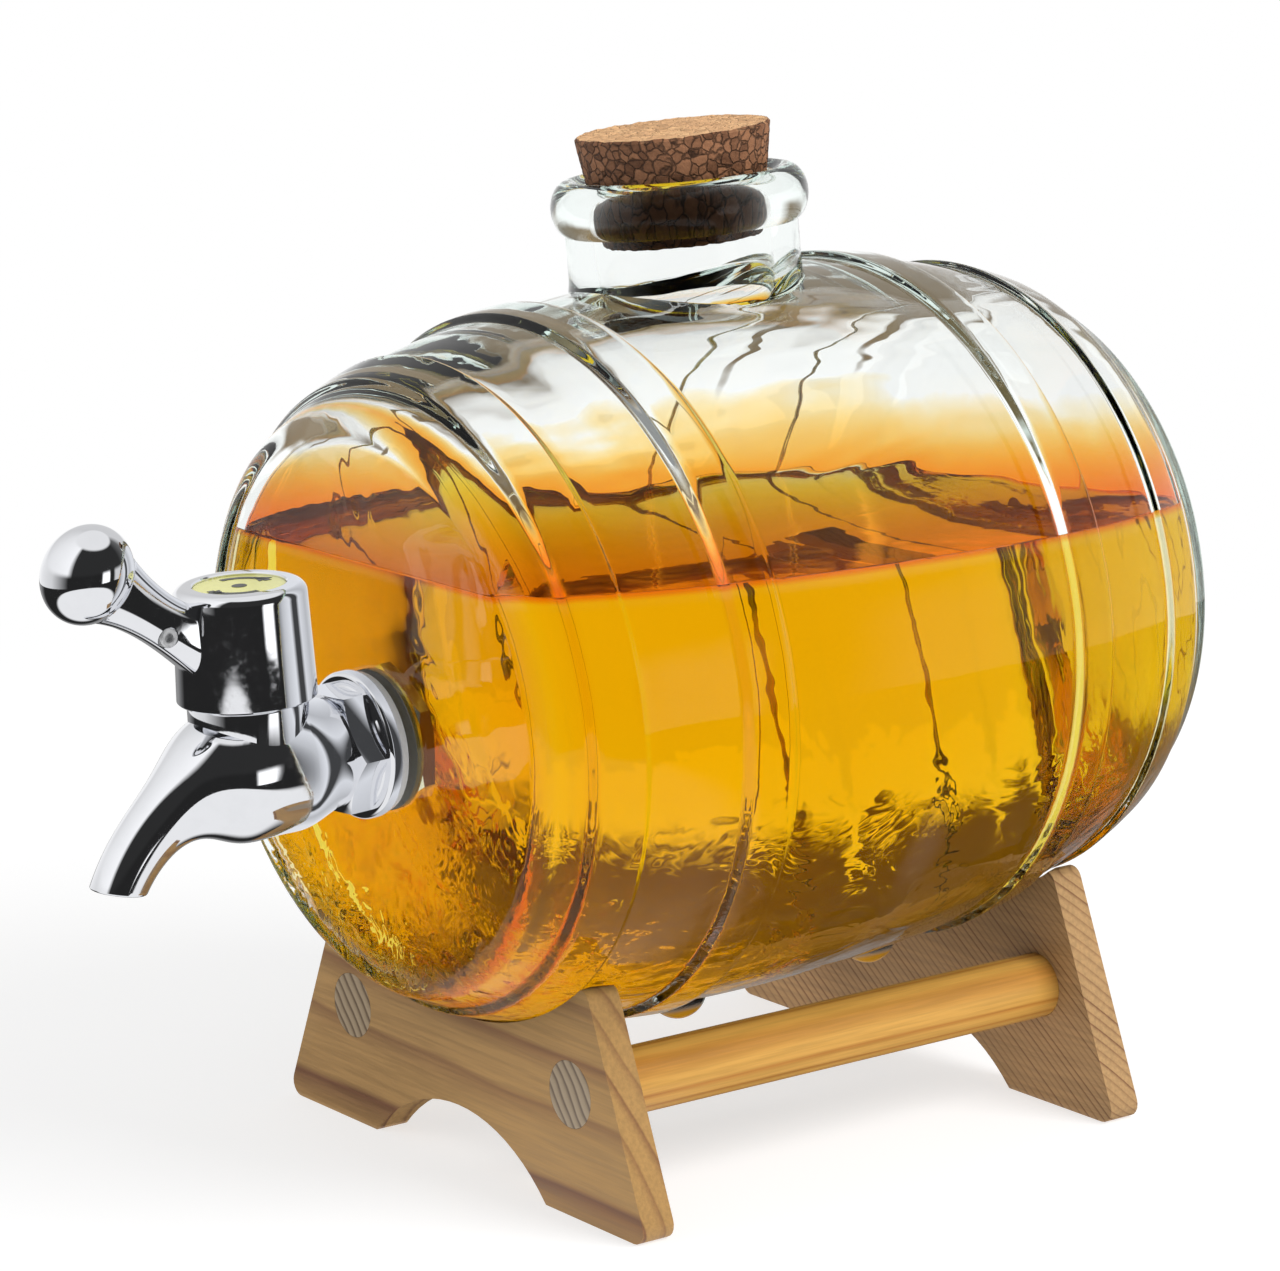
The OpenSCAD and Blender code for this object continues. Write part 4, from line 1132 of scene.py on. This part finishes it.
class DISPENSER_OT_handle(Operator):
    """Casts the handle: cap, curved lever and knob, with its small stud and its sign's arrows"""
    bl_idname = "dispenser.handle"
    bl_label = "Tap Handle"

    def execute(self, context):
        tap = context.scene.dispenser_tap
        chrome = chrome_material("handle_chrome", tap.chrome, 0.03)
        handle = lathe("handle_casting", cap_outline(), tap.sides)
        lever = sweep("lever", [lever_ring(s) for s in steps(0, LEVER_SHARE, 36)], squared_loop)
        root, lean = on_curve(LEVER_CURVE, 0)
        ahead = Vector((0, -math.cos(lean), math.sin(lean)))
        close_start(lever, lambda co: (co - Vector((0, -root.x, root.y)) * MM).dot(ahead) < 1e-6)
        finish_mesh(lever, 50)
        select_only()
        bpy.ops.mesh.primitive_uv_sphere_add(segments=72, ring_count=48, radius=1)
        knob = named("knob")
        end = Vector(LEVER_CURVE[3]) * MM
        settle(knob, Matrix.Translation((0, -end.x, end.y)) @ Matrix.Rotation(-KNOB_HEADING, 4, "X")
               @ Matrix.Diagonal((*[h * MM for h in KNOB_HALF], 1)))
        combine(lever, knob, "UNION")
        combine(handle, lever, "UNION")
        select_only()
        bpy.ops.mesh.primitive_cube_add(size=1)
        socket = named("socket")
        settle(socket, Matrix.Translation((0, 0, (DRIVE_TOP + CAP_LOW) / 2 * MM)) @ Matrix.Diagonal(
            (2 * DRIVE_HALF * MM, 2 * DRIVE_HALF * MM, (DRIVE_TOP - CAP_LOW) * MM, 1)))
        combine(handle, socket, "DIFFERENCE")
        well = lathe("well", SCREW_WELL, 48)
        combine(handle, well, "DIFFERENCE")
        at, _ = on_curve(LEVER_CURVE, STUD_SHARE)
        flank = lever_ring(STUD_SHARE)[3]
        seat = Matrix.Translation(((flank - STUD_DEEP) * MM, -at.x * MM, (at.y - STUD_LOW) * MM))
        seat = seat @ Matrix.Rotation(math.pi / 2, 4, "Y")
        hole = rod("hole", STUD_R + STUD_GAP, 0, STUD_HOLE, 48)
        settle(hole, seat)
        combine(handle, hole, "DIFFERENCE")
        settle(handle, ON_VALVE)
        smooth(handle, 38)
        dress(handle, chrome, "handle")
        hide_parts("tap_handle")
        self.add_stud(seat)
        self.add_arrows(tap)
        return {"FINISHED"}

    def add_stud(self, seat):
        """The small hollow stud in the lever's flank."""
        stud = lathe("lever_stud", [(0, 0), (STUD_R, 0), (STUD_R, 1.55), (STUD_R - 0.25, STUD_TOP),
                                    (0.95, STUD_TOP), (0.8, 1.65), (0.8, 0.5), (0, 0.5)], 48)
        settle(stud, ON_VALVE @ seat)
        tones = ((0.2, (0.5, 0.5, 0.51)), (0.8, (0.68, 0.69, 0.7)))
        steel = mottled_material("stud_steel", 2500, 3, tones, (0.35, 0.5), 0.6)
        dress(stud, steel, "handle")
        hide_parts("lever_set_screw")

    def add_arrows(self, tap):
        """Two curved arrows printed on the sign, with a dot between them."""
        sign, tree, shader = new_material("sign_print")
        worn = fade(tree, noise(tree, 900, 4), 0.3, 0.7, 0.0, 0.25)
        join(shader, {"Base Color": blend(tree, worn, tap.sign, [c * 0.8 for c in tap.sign]),
                      "Roughness": 0.25})
        dress_node("sign_disc", sign)
        tones = ((0.2, (0.012, 0.014, 0.012)), (0.8, (0.04, 0.045, 0.035)))
        ink = mottled_material("sign_ink", 1500, 3, tones, (0.3, 0.3))
        marks = []
        for turn in (0, math.pi):
            select_only()
            bpy.ops.mesh.primitive_plane_add(size=1)
            shaft = named("shaft")
            edit_all(shaft)
            bpy.ops.transform.resize(value=(ARROW_WIDE * MM, ARROW_START * MM, 1))
            bpy.ops.transform.translate(value=(ARROW_R * MM, 0, 0))
            bpy.ops.mesh.delete(type="ONLY_FACE")
            bpy.ops.object.mode_set(mode="OBJECT")
            for vertex in shaft.data.vertices:
                vertex.select = vertex.co.y > 0
            bpy.ops.object.mode_set(mode="EDIT")
            bpy.ops.mesh.spin(steps=18, angle=ARROW_SWEEP, center=(0, 0, 0), axis=(0, 0, 1))
            bpy.ops.object.mode_set(mode="OBJECT")
            settle(shaft, Matrix.Rotation(turn, 4, "Z"))
            select_only()
            bpy.ops.mesh.primitive_circle_add(vertices=3, radius=ARROW_HEAD * MM, fill_type="NGON")
            head = named("head")
            settle(head, Matrix.Rotation(turn + ARROW_HEAD_AT, 4, "Z")
                   @ Matrix.Translation((ARROW_R * MM, 0, 0)))
            marks += [shaft, head]
        select_only()
        bpy.ops.mesh.primitive_circle_add(vertices=40, radius=DOT_R * MM, fill_type="NGON")
        select_only(*marks, named("dot"))
        bpy.ops.object.join()
        marks = named("sign_arrows")
        edit_all(marks)
        bpy.ops.mesh.delete_loose()
        bpy.ops.mesh.select_all(action="SELECT")
        bpy.ops.mesh.extrude_region_move(TRANSFORM_OT_translate={"value": (0, 0, INK_THICK * MM)})
        finish_mesh(marks, 30)
        settle(marks, ON_VALVE @ Matrix.Translation((0, 0, (SIGN_FLOOR + INK_LIFT) * MM)))
        dress(marks, ink, "handle")


class DISPENSER_OT_fittings(Operator):
    """Finishes the fittings that keep their CAD shape: seals, washer, nut, plug, ring and screw"""
    bl_idname = "dispenser.fittings"
    bl_label = "Fittings"

    def execute(self, context):
        chrome = chrome_material("nut_chrome", context.scene.dispenser_tap.chrome, 0.08)
        dress_node("lock_nut", chrome)
        finishes = (
            # The seals' near-white is partly their own pale silicone and partly painted light that lifts
            # the shade between the flange and the glass
            ("silicone_painted_light", (0.9, 0.9, 0.9), (0.97, 0.97, 0.97), 0.0, 0.25,
             ("outer_seal", "inner_seal", "plug_seals")),
            ("bright_steel", (0.5, 0.51, 0.52), (0.68, 0.69, 0.7), 1.0, 0.25,
             ("seal_washer", "handle_screw")),
            ("turned_brass", (0.6, 0.42, 0.17), (0.78, 0.6, 0.3), 1.0, 0.22,
             ("valve_plug", "plug_retainer")))
        for name, low, high, metal, rough, nodes in finishes:
            material = mottled_material(name, 1100, 4, ((0.25, low), (0.75, high)), (rough, rough + 0.15),
                                        metal, 0.00005)
            for node in nodes:
                dress_node(node, material)
        return {"FINISHED"}


# Camera, lamps and floor, in metres
CAMERA_PLACE = (0.6389, -0.4686, 0.2634)
CAMERA_TARGET = (0.02446, -0.00498, 0.09827)
CAMERA_ROLL = math.radians(-0.29)
CAMERA_AZIMUTH = math.radians(52.97)
KEY_PLACE = (0.75, 0.4, 0.75)
KEY_SIZE = (0.7, 0.5)
FILL_PLACE = (-0.35, -0.85, 0.55)
FILL_SIZE = (0.35, 0.6)
LAMP_TARGET = (0.0, 0.0, 0.1)
WORLD_GREY = (0.5, 0.5, 0.5)
FLOOR_R = 9
FLOOR_PAINT = (0.45, 0.45, 0.45)
FLOOR_GLOW = 0.67
FLOOR_FADE = (0.22, 0.55)

# Two light tents: the brightness of walls, roof and ground at shares of the way round, from behind the
# camera leftwards to behind it again. Metal and gloss see the first, and the second is seen through glass
# and drink. Each has one white table, given by its middle and the radii between which it fades.
TENT_LOW = 0.0006
TENT_LAMP = (0.88, 0.92)
MIRROR_TENT = {
    "walls": ((0.0, 0.02), (0.11, 0.02), (0.22, 0.75), (0.38, 1.0), (0.62, 1.0), (0.7, 0.75), (0.8, 0.7),
              (0.815, 0.02), (0.842, 0.02), (0.852, 1.5), (0.893, 1.5), (0.905, 0.02), (1.0, 0.02)),
    "roof": ((0.0, 0.03), (0.09, 0.03), (0.12, 1.1), (0.3, 0.9), (0.4, 0.7), (0.6, 0.7), (0.66, 0.15),
             (0.75, 0.03), (1.0, 0.03)),
    "ground": ((0.0, 0.02), (0.3, 0.02), (0.37, 0.3), (0.63, 0.3), (0.68, 0.02), (1.0, 0.02)),
    "table": ((0.16, -0.2, 0.0), 0.22, 0.25),
    "lamp": 0.9,
    "eaves": (0.28, 0.42),
    "radius": 0.6,
}
WINDOW_TENT = {
    "walls": ((0.0, 0.04), (0.13, 0.04), (0.18, 0.95), (0.36, 1.1), (0.64, 1.1), (0.82, 0.95), (0.87, 0.04),
              (1.0, 0.04)),
    "roof": ((0.0, 0.04), (0.2, 0.12), (0.3, (0.3, 0.22, 0.13)), (0.42, (0.22, 0.16, 0.09)),
             (0.5, (0.17, 0.12, 0.06)), (0.57, (0.22, 0.16, 0.09)), (0.63, 1.1), (0.8, 1.1), (0.85, 0.2),
             (1.0, 0.04)),
    "ground": ((0.0, 0.05), (0.1, 0.1), (0.18, 1.0), (0.82, 1.0), (0.9, 0.1), (1.0, 0.05)),
    "table": ((0.0, 0.0, 0.0), 0.2, 0.35),
    "lamp": 0.3,
    "eaves": (0.1, 0.2),
    "radius": 3.0,
}
TENT_WHITE = (0.95, 0.95, 0.95)
TENT_SEAM = (0.97, 0.995)
# What the tents lose of their light after a matt bounce
TENT_LOSS = 0.6

# The glowing card behind the tap, a painted reflection of white bands in the chrome, in mm, and the
# brightness of its bands from left to right
CARD_R = 47.0
CARD_GAP = 0.7
PAINTED_REFLECTION_BANDS = ((0.0, 0.25), (0.2, 0.8), (0.4, 0.85), (0.55, 0.55), (0.63, 0.8), (0.66, 0.06), (0.71, 0.06),
              (0.75, 0.85), (0.88, 0.6), (1.0, 0.15))


def grey(level):
    """A brightness as a colour, where it isn't one yet."""
    return level if isinstance(level, tuple) else (level,) * 3


def looking(place, target):
    """The placing of a camera or lamp that looks at a target."""
    place, target = Vector(place), Vector(target)
    return Matrix.Translation(place) @ (target - place).to_track_quat("-Z", "Y").to_matrix().to_4x4()


class DISPENSER_OT_stage(Operator):
    """Sets the pale floor, the soft studio light and the camera"""
    bl_idname = "dispenser.stage"
    bl_label = "Stage"

    def execute(self, context):
        stage = context.scene.dispenser_stage
        scene = context.scene
        scene.view_settings.view_transform = "Standard"
        scene.cycles.max_bounces = 24
        scene.cycles.transmission_bounces = 24
        scene.cycles.glossy_bounces = 8
        self.add_floor()
        self.add_world(scene)
        hide_from(self.add_tent("mirror_tent", MIRROR_TENT), "transmission")
        hide_from(self.add_tent("window_tent", WINDOW_TENT), "glossy")
        self.add_painted_reflection()
        self.add_lamp("key_lamp", KEY_PLACE, KEY_SIZE, stage.key_power)
        self.add_lamp("fill_lamp", FILL_PLACE, FILL_SIZE, stage.fill_power)
        camera = bpy.data.cameras.new("photo_camera")
        camera.lens = stage.lens
        camera.sensor_width = 36
        camera.clip_start, camera.clip_end = 0.01, 50
        viewer = bpy.data.objects.new("photo_camera", camera)
        scene.collection.objects.link(viewer)
        viewer.matrix_world = looking(CAMERA_PLACE, CAMERA_TARGET) @ Matrix.Rotation(CAMERA_ROLL, 4, "Z")
        scene.camera = viewer
        return {"FINISHED"}

    def add_floor(self):
        """A pale floor that is white in the light and keeps the object's shadow."""
        select_only()
        bpy.ops.mesh.primitive_circle_add(vertices=96, radius=FLOOR_R, fill_type="NGON")
        floor = named("floor")
        material, tree, shader = new_material("pale_floor")
        paint = add(tree, "BsdfDiffuse", {"Color": FLOOR_PAINT})
        glow = add(tree, "Emission", {"Color": WHITE, "Strength": FLOOR_GLOW})
        both = add(tree, "AddShader", {0: paint.outputs[0], 1: glow.outputs[0]})
        far = fade(tree, vectors(tree, "LENGTH", object_place(tree)), *FLOOR_FADE)
        white = add(tree, "Emission", {"Color": WHITE, "Strength": 1.0})
        only_surface(tree, shader,
                     add(tree, "MixShader", {0: far, 1: both.outputs[0], 2: white.outputs[0]}))
        floor.data.materials.append(material)

    def add_world(self, scene):
        """A white background with a plain grey light on what is matt."""
        world = bpy.data.worlds.new("studio")
        scene.world = world
        world.use_nodes = True
        tree = world.node_tree
        rays = add(tree, "LightPath")
        sharp = maths(tree, "MAXIMUM", rays.outputs["Is Glossy Ray"], rays.outputs["Is Transmission Ray"])
        seen = maths(tree, "MAXIMUM", rays.outputs["Is Camera Ray"], sharp)
        shown = blend(tree, seen, WORLD_GREY, WHITE)
        join(tree.nodes["Background"], {"Color": shown, "Strength": 1.0})

    def add_tent(self, name, levels):
        """A light tent round the object that lights nothing and that the camera doesn't see."""
        select_only()
        bpy.ops.mesh.primitive_uv_sphere_add(segments=96, ring_count=64, radius=levels["radius"])
        tent = named(name)
        edit_all(tent)
        bpy.ops.mesh.bisect(plane_co=(0, 0, TENT_LOW), plane_no=(0, 0, 1), use_fill=True, clear_inner=True)
        bpy.ops.object.mode_set(mode="OBJECT")
        material, tree, shader = new_material(name)
        place = object_place(tree)
        x, y, rise = parts_of(tree, vectors(tree, "NORMALIZE", place))
        around = maths(tree, "ADD", maths(tree, "ARCTAN2", x, y), CAMERA_AZIMUTH)
        share = maths(tree, "FRACT", maths(tree, "MULTIPLY_ADD", around, 0.5 / math.pi, 1.5))
        walls, roof, ground = (ramp(tree, share, [(at, grey(level)) for at, level in levels[part]])
                               for part in ("walls", "roof", "ground"))
        cloth = blend(tree, fade(tree, rise, *levels["eaves"]), walls, roof)
        cloth = blend(tree, fade(tree, rise, *TENT_LAMP), cloth, grey(levels["lamp"]))
        middle, inner, outer = levels["table"]
        from_table = vectors(tree, "DISTANCE", place, middle)
        ground = blend(tree, fade(tree, from_table, inner, outer), TENT_WHITE, ground)
        seam = fade(tree, vectors(tree, "LENGTH", place), *(levels["radius"] * part for part in TENT_SEAM))
        cloth = blend(tree, seam, ground, cloth)
        matt = maths(tree, "MINIMUM", add(tree, "LightPath").outputs["Diffuse Depth"], 1.0)
        strength = maths(tree, "MULTIPLY_ADD", matt, -TENT_LOSS, 1.0)
        only_surface(tree, shader, add(tree, "Emission", {"Color": cloth, "Strength": strength}))
        tent.data.materials.append(material)
        hide_from(tent, "camera", "diffuse", "shadow", "volume_scatter")
        return tent

    def add_painted_reflection(self):
        """A glowing card behind the tap that only the chrome mirrors, and only from its front: a painted
        reflection of white bands where the chrome would mirror the barrel.
        """
        select_only()
        bpy.ops.mesh.primitive_circle_add(vertices=64, radius=CARD_R * MM, fill_type="NGON")
        card = named("painted_reflection_card")
        settle(card, ON_BARREL @ TOWARDS_TAP @ Matrix.Translation((0, 0, (HALF_LENGTH + CARD_GAP) * MM)))
        material, tree, shader = new_material("painted_reflection_card")
        across = parts_of(tree, object_place(tree))[0]
        # Painted reflection: the bands glow, light nothing and show only in the chrome
        bands = ramp(tree, maths(tree, "MULTIPLY_ADD", across, 0.5 / (CARD_R * MM), 0.5),
                     [(at, (level, level * 1.02, level * 1.06)) for at, level in PAINTED_REFLECTION_BANDS])
        glow = add(tree, "Emission", {"Color": bands, "Strength": 1.0})
        clear = add(tree, "BsdfTransparent")
        back = add(tree, "NewGeometry").outputs["Backfacing"]
        only_surface(tree, shader,
                     add(tree, "MixShader", {0: back, 1: glow.outputs[0], 2: clear.outputs[0]}))
        card.data.materials.append(material)
        hide_from(card, "camera", "diffuse", "shadow", "volume_scatter", "transmission")

    def add_lamp(self, name, place, size, power):
        """A soft rectangular lamp turned to the object."""
        lamp = bpy.data.lights.new(name, "AREA")
        lamp.shape = "RECTANGLE"
        lamp.size, lamp.size_y = size
        lamp.energy = power
        holder = bpy.data.objects.new(name, lamp)
        hide_from(holder, "glossy", "transmission")
        bpy.context.scene.collection.objects.link(holder)
        holder.matrix_world = looking(place, LAMP_TARGET)


class DISPENSER_PT_panel(Panel):
    """Lists the dispenser's pieces and their settings"""
    bl_label = "Glass Barrel Dispenser"
    bl_idname = "DISPENSER_PT_panel"
    bl_space_type = "VIEW_3D"
    bl_region_type = "UI"
    bl_category = "Dispenser"

    def draw(self, context):
        for operator, group in PIECES:
            box = self.layout.box()
            box.operator(operator.bl_idname)
            settings = getattr(context.scene, group, None)
            if settings is not None:
                for key in settings.__annotations__:
                    box.prop(settings, key)


GROUPS = {
    "dispenser_glass": GlassSettings,
    "dispenser_drink": DrinkSettings,
    "dispenser_cork": CorkSettings,
    "dispenser_stand": StandSettings,
    "dispenser_tap": TapSettings,
    "dispenser_stage": StageSettings,
}
PIECES = (
    (DISPENSER_OT_glass, "dispenser_glass"),
    (DISPENSER_OT_drink, "dispenser_drink"),
    (DISPENSER_OT_cork, "dispenser_cork"),
    (DISPENSER_OT_stand, "dispenser_stand"),
    (DISPENSER_OT_tap, "dispenser_tap"),
    (DISPENSER_OT_handle, "dispenser_tap"),
    (DISPENSER_OT_fittings, "dispenser_tap"),
    (DISPENSER_OT_stage, "dispenser_stage"),
)


def register():
    for name, group in GROUPS.items():
        bpy.utils.register_class(group)
        setattr(bpy.types.Scene, name, PointerProperty(type=group))
    for operator, _ in PIECES:
        bpy.utils.register_class(operator)
    bpy.utils.register_class(DISPENSER_PT_panel)


def unregister():
    bpy.utils.unregister_class(DISPENSER_PT_panel)
    for operator, _ in reversed(PIECES):
        bpy.utils.unregister_class(operator)
    for name, group in reversed(GROUPS.items()):
        delattr(bpy.types.Scene, name)
        bpy.utils.unregister_class(group)


def main():
    register()
    bpy.ops.dispenser.glass()
    bpy.ops.dispenser.drink()
    bpy.ops.dispenser.cork()
    bpy.ops.dispenser.stand()
    bpy.ops.dispenser.tap()
    bpy.ops.dispenser.handle()
    bpy.ops.dispenser.fittings()
    bpy.ops.dispenser.stage()


if __name__ == "__main__":
    main()
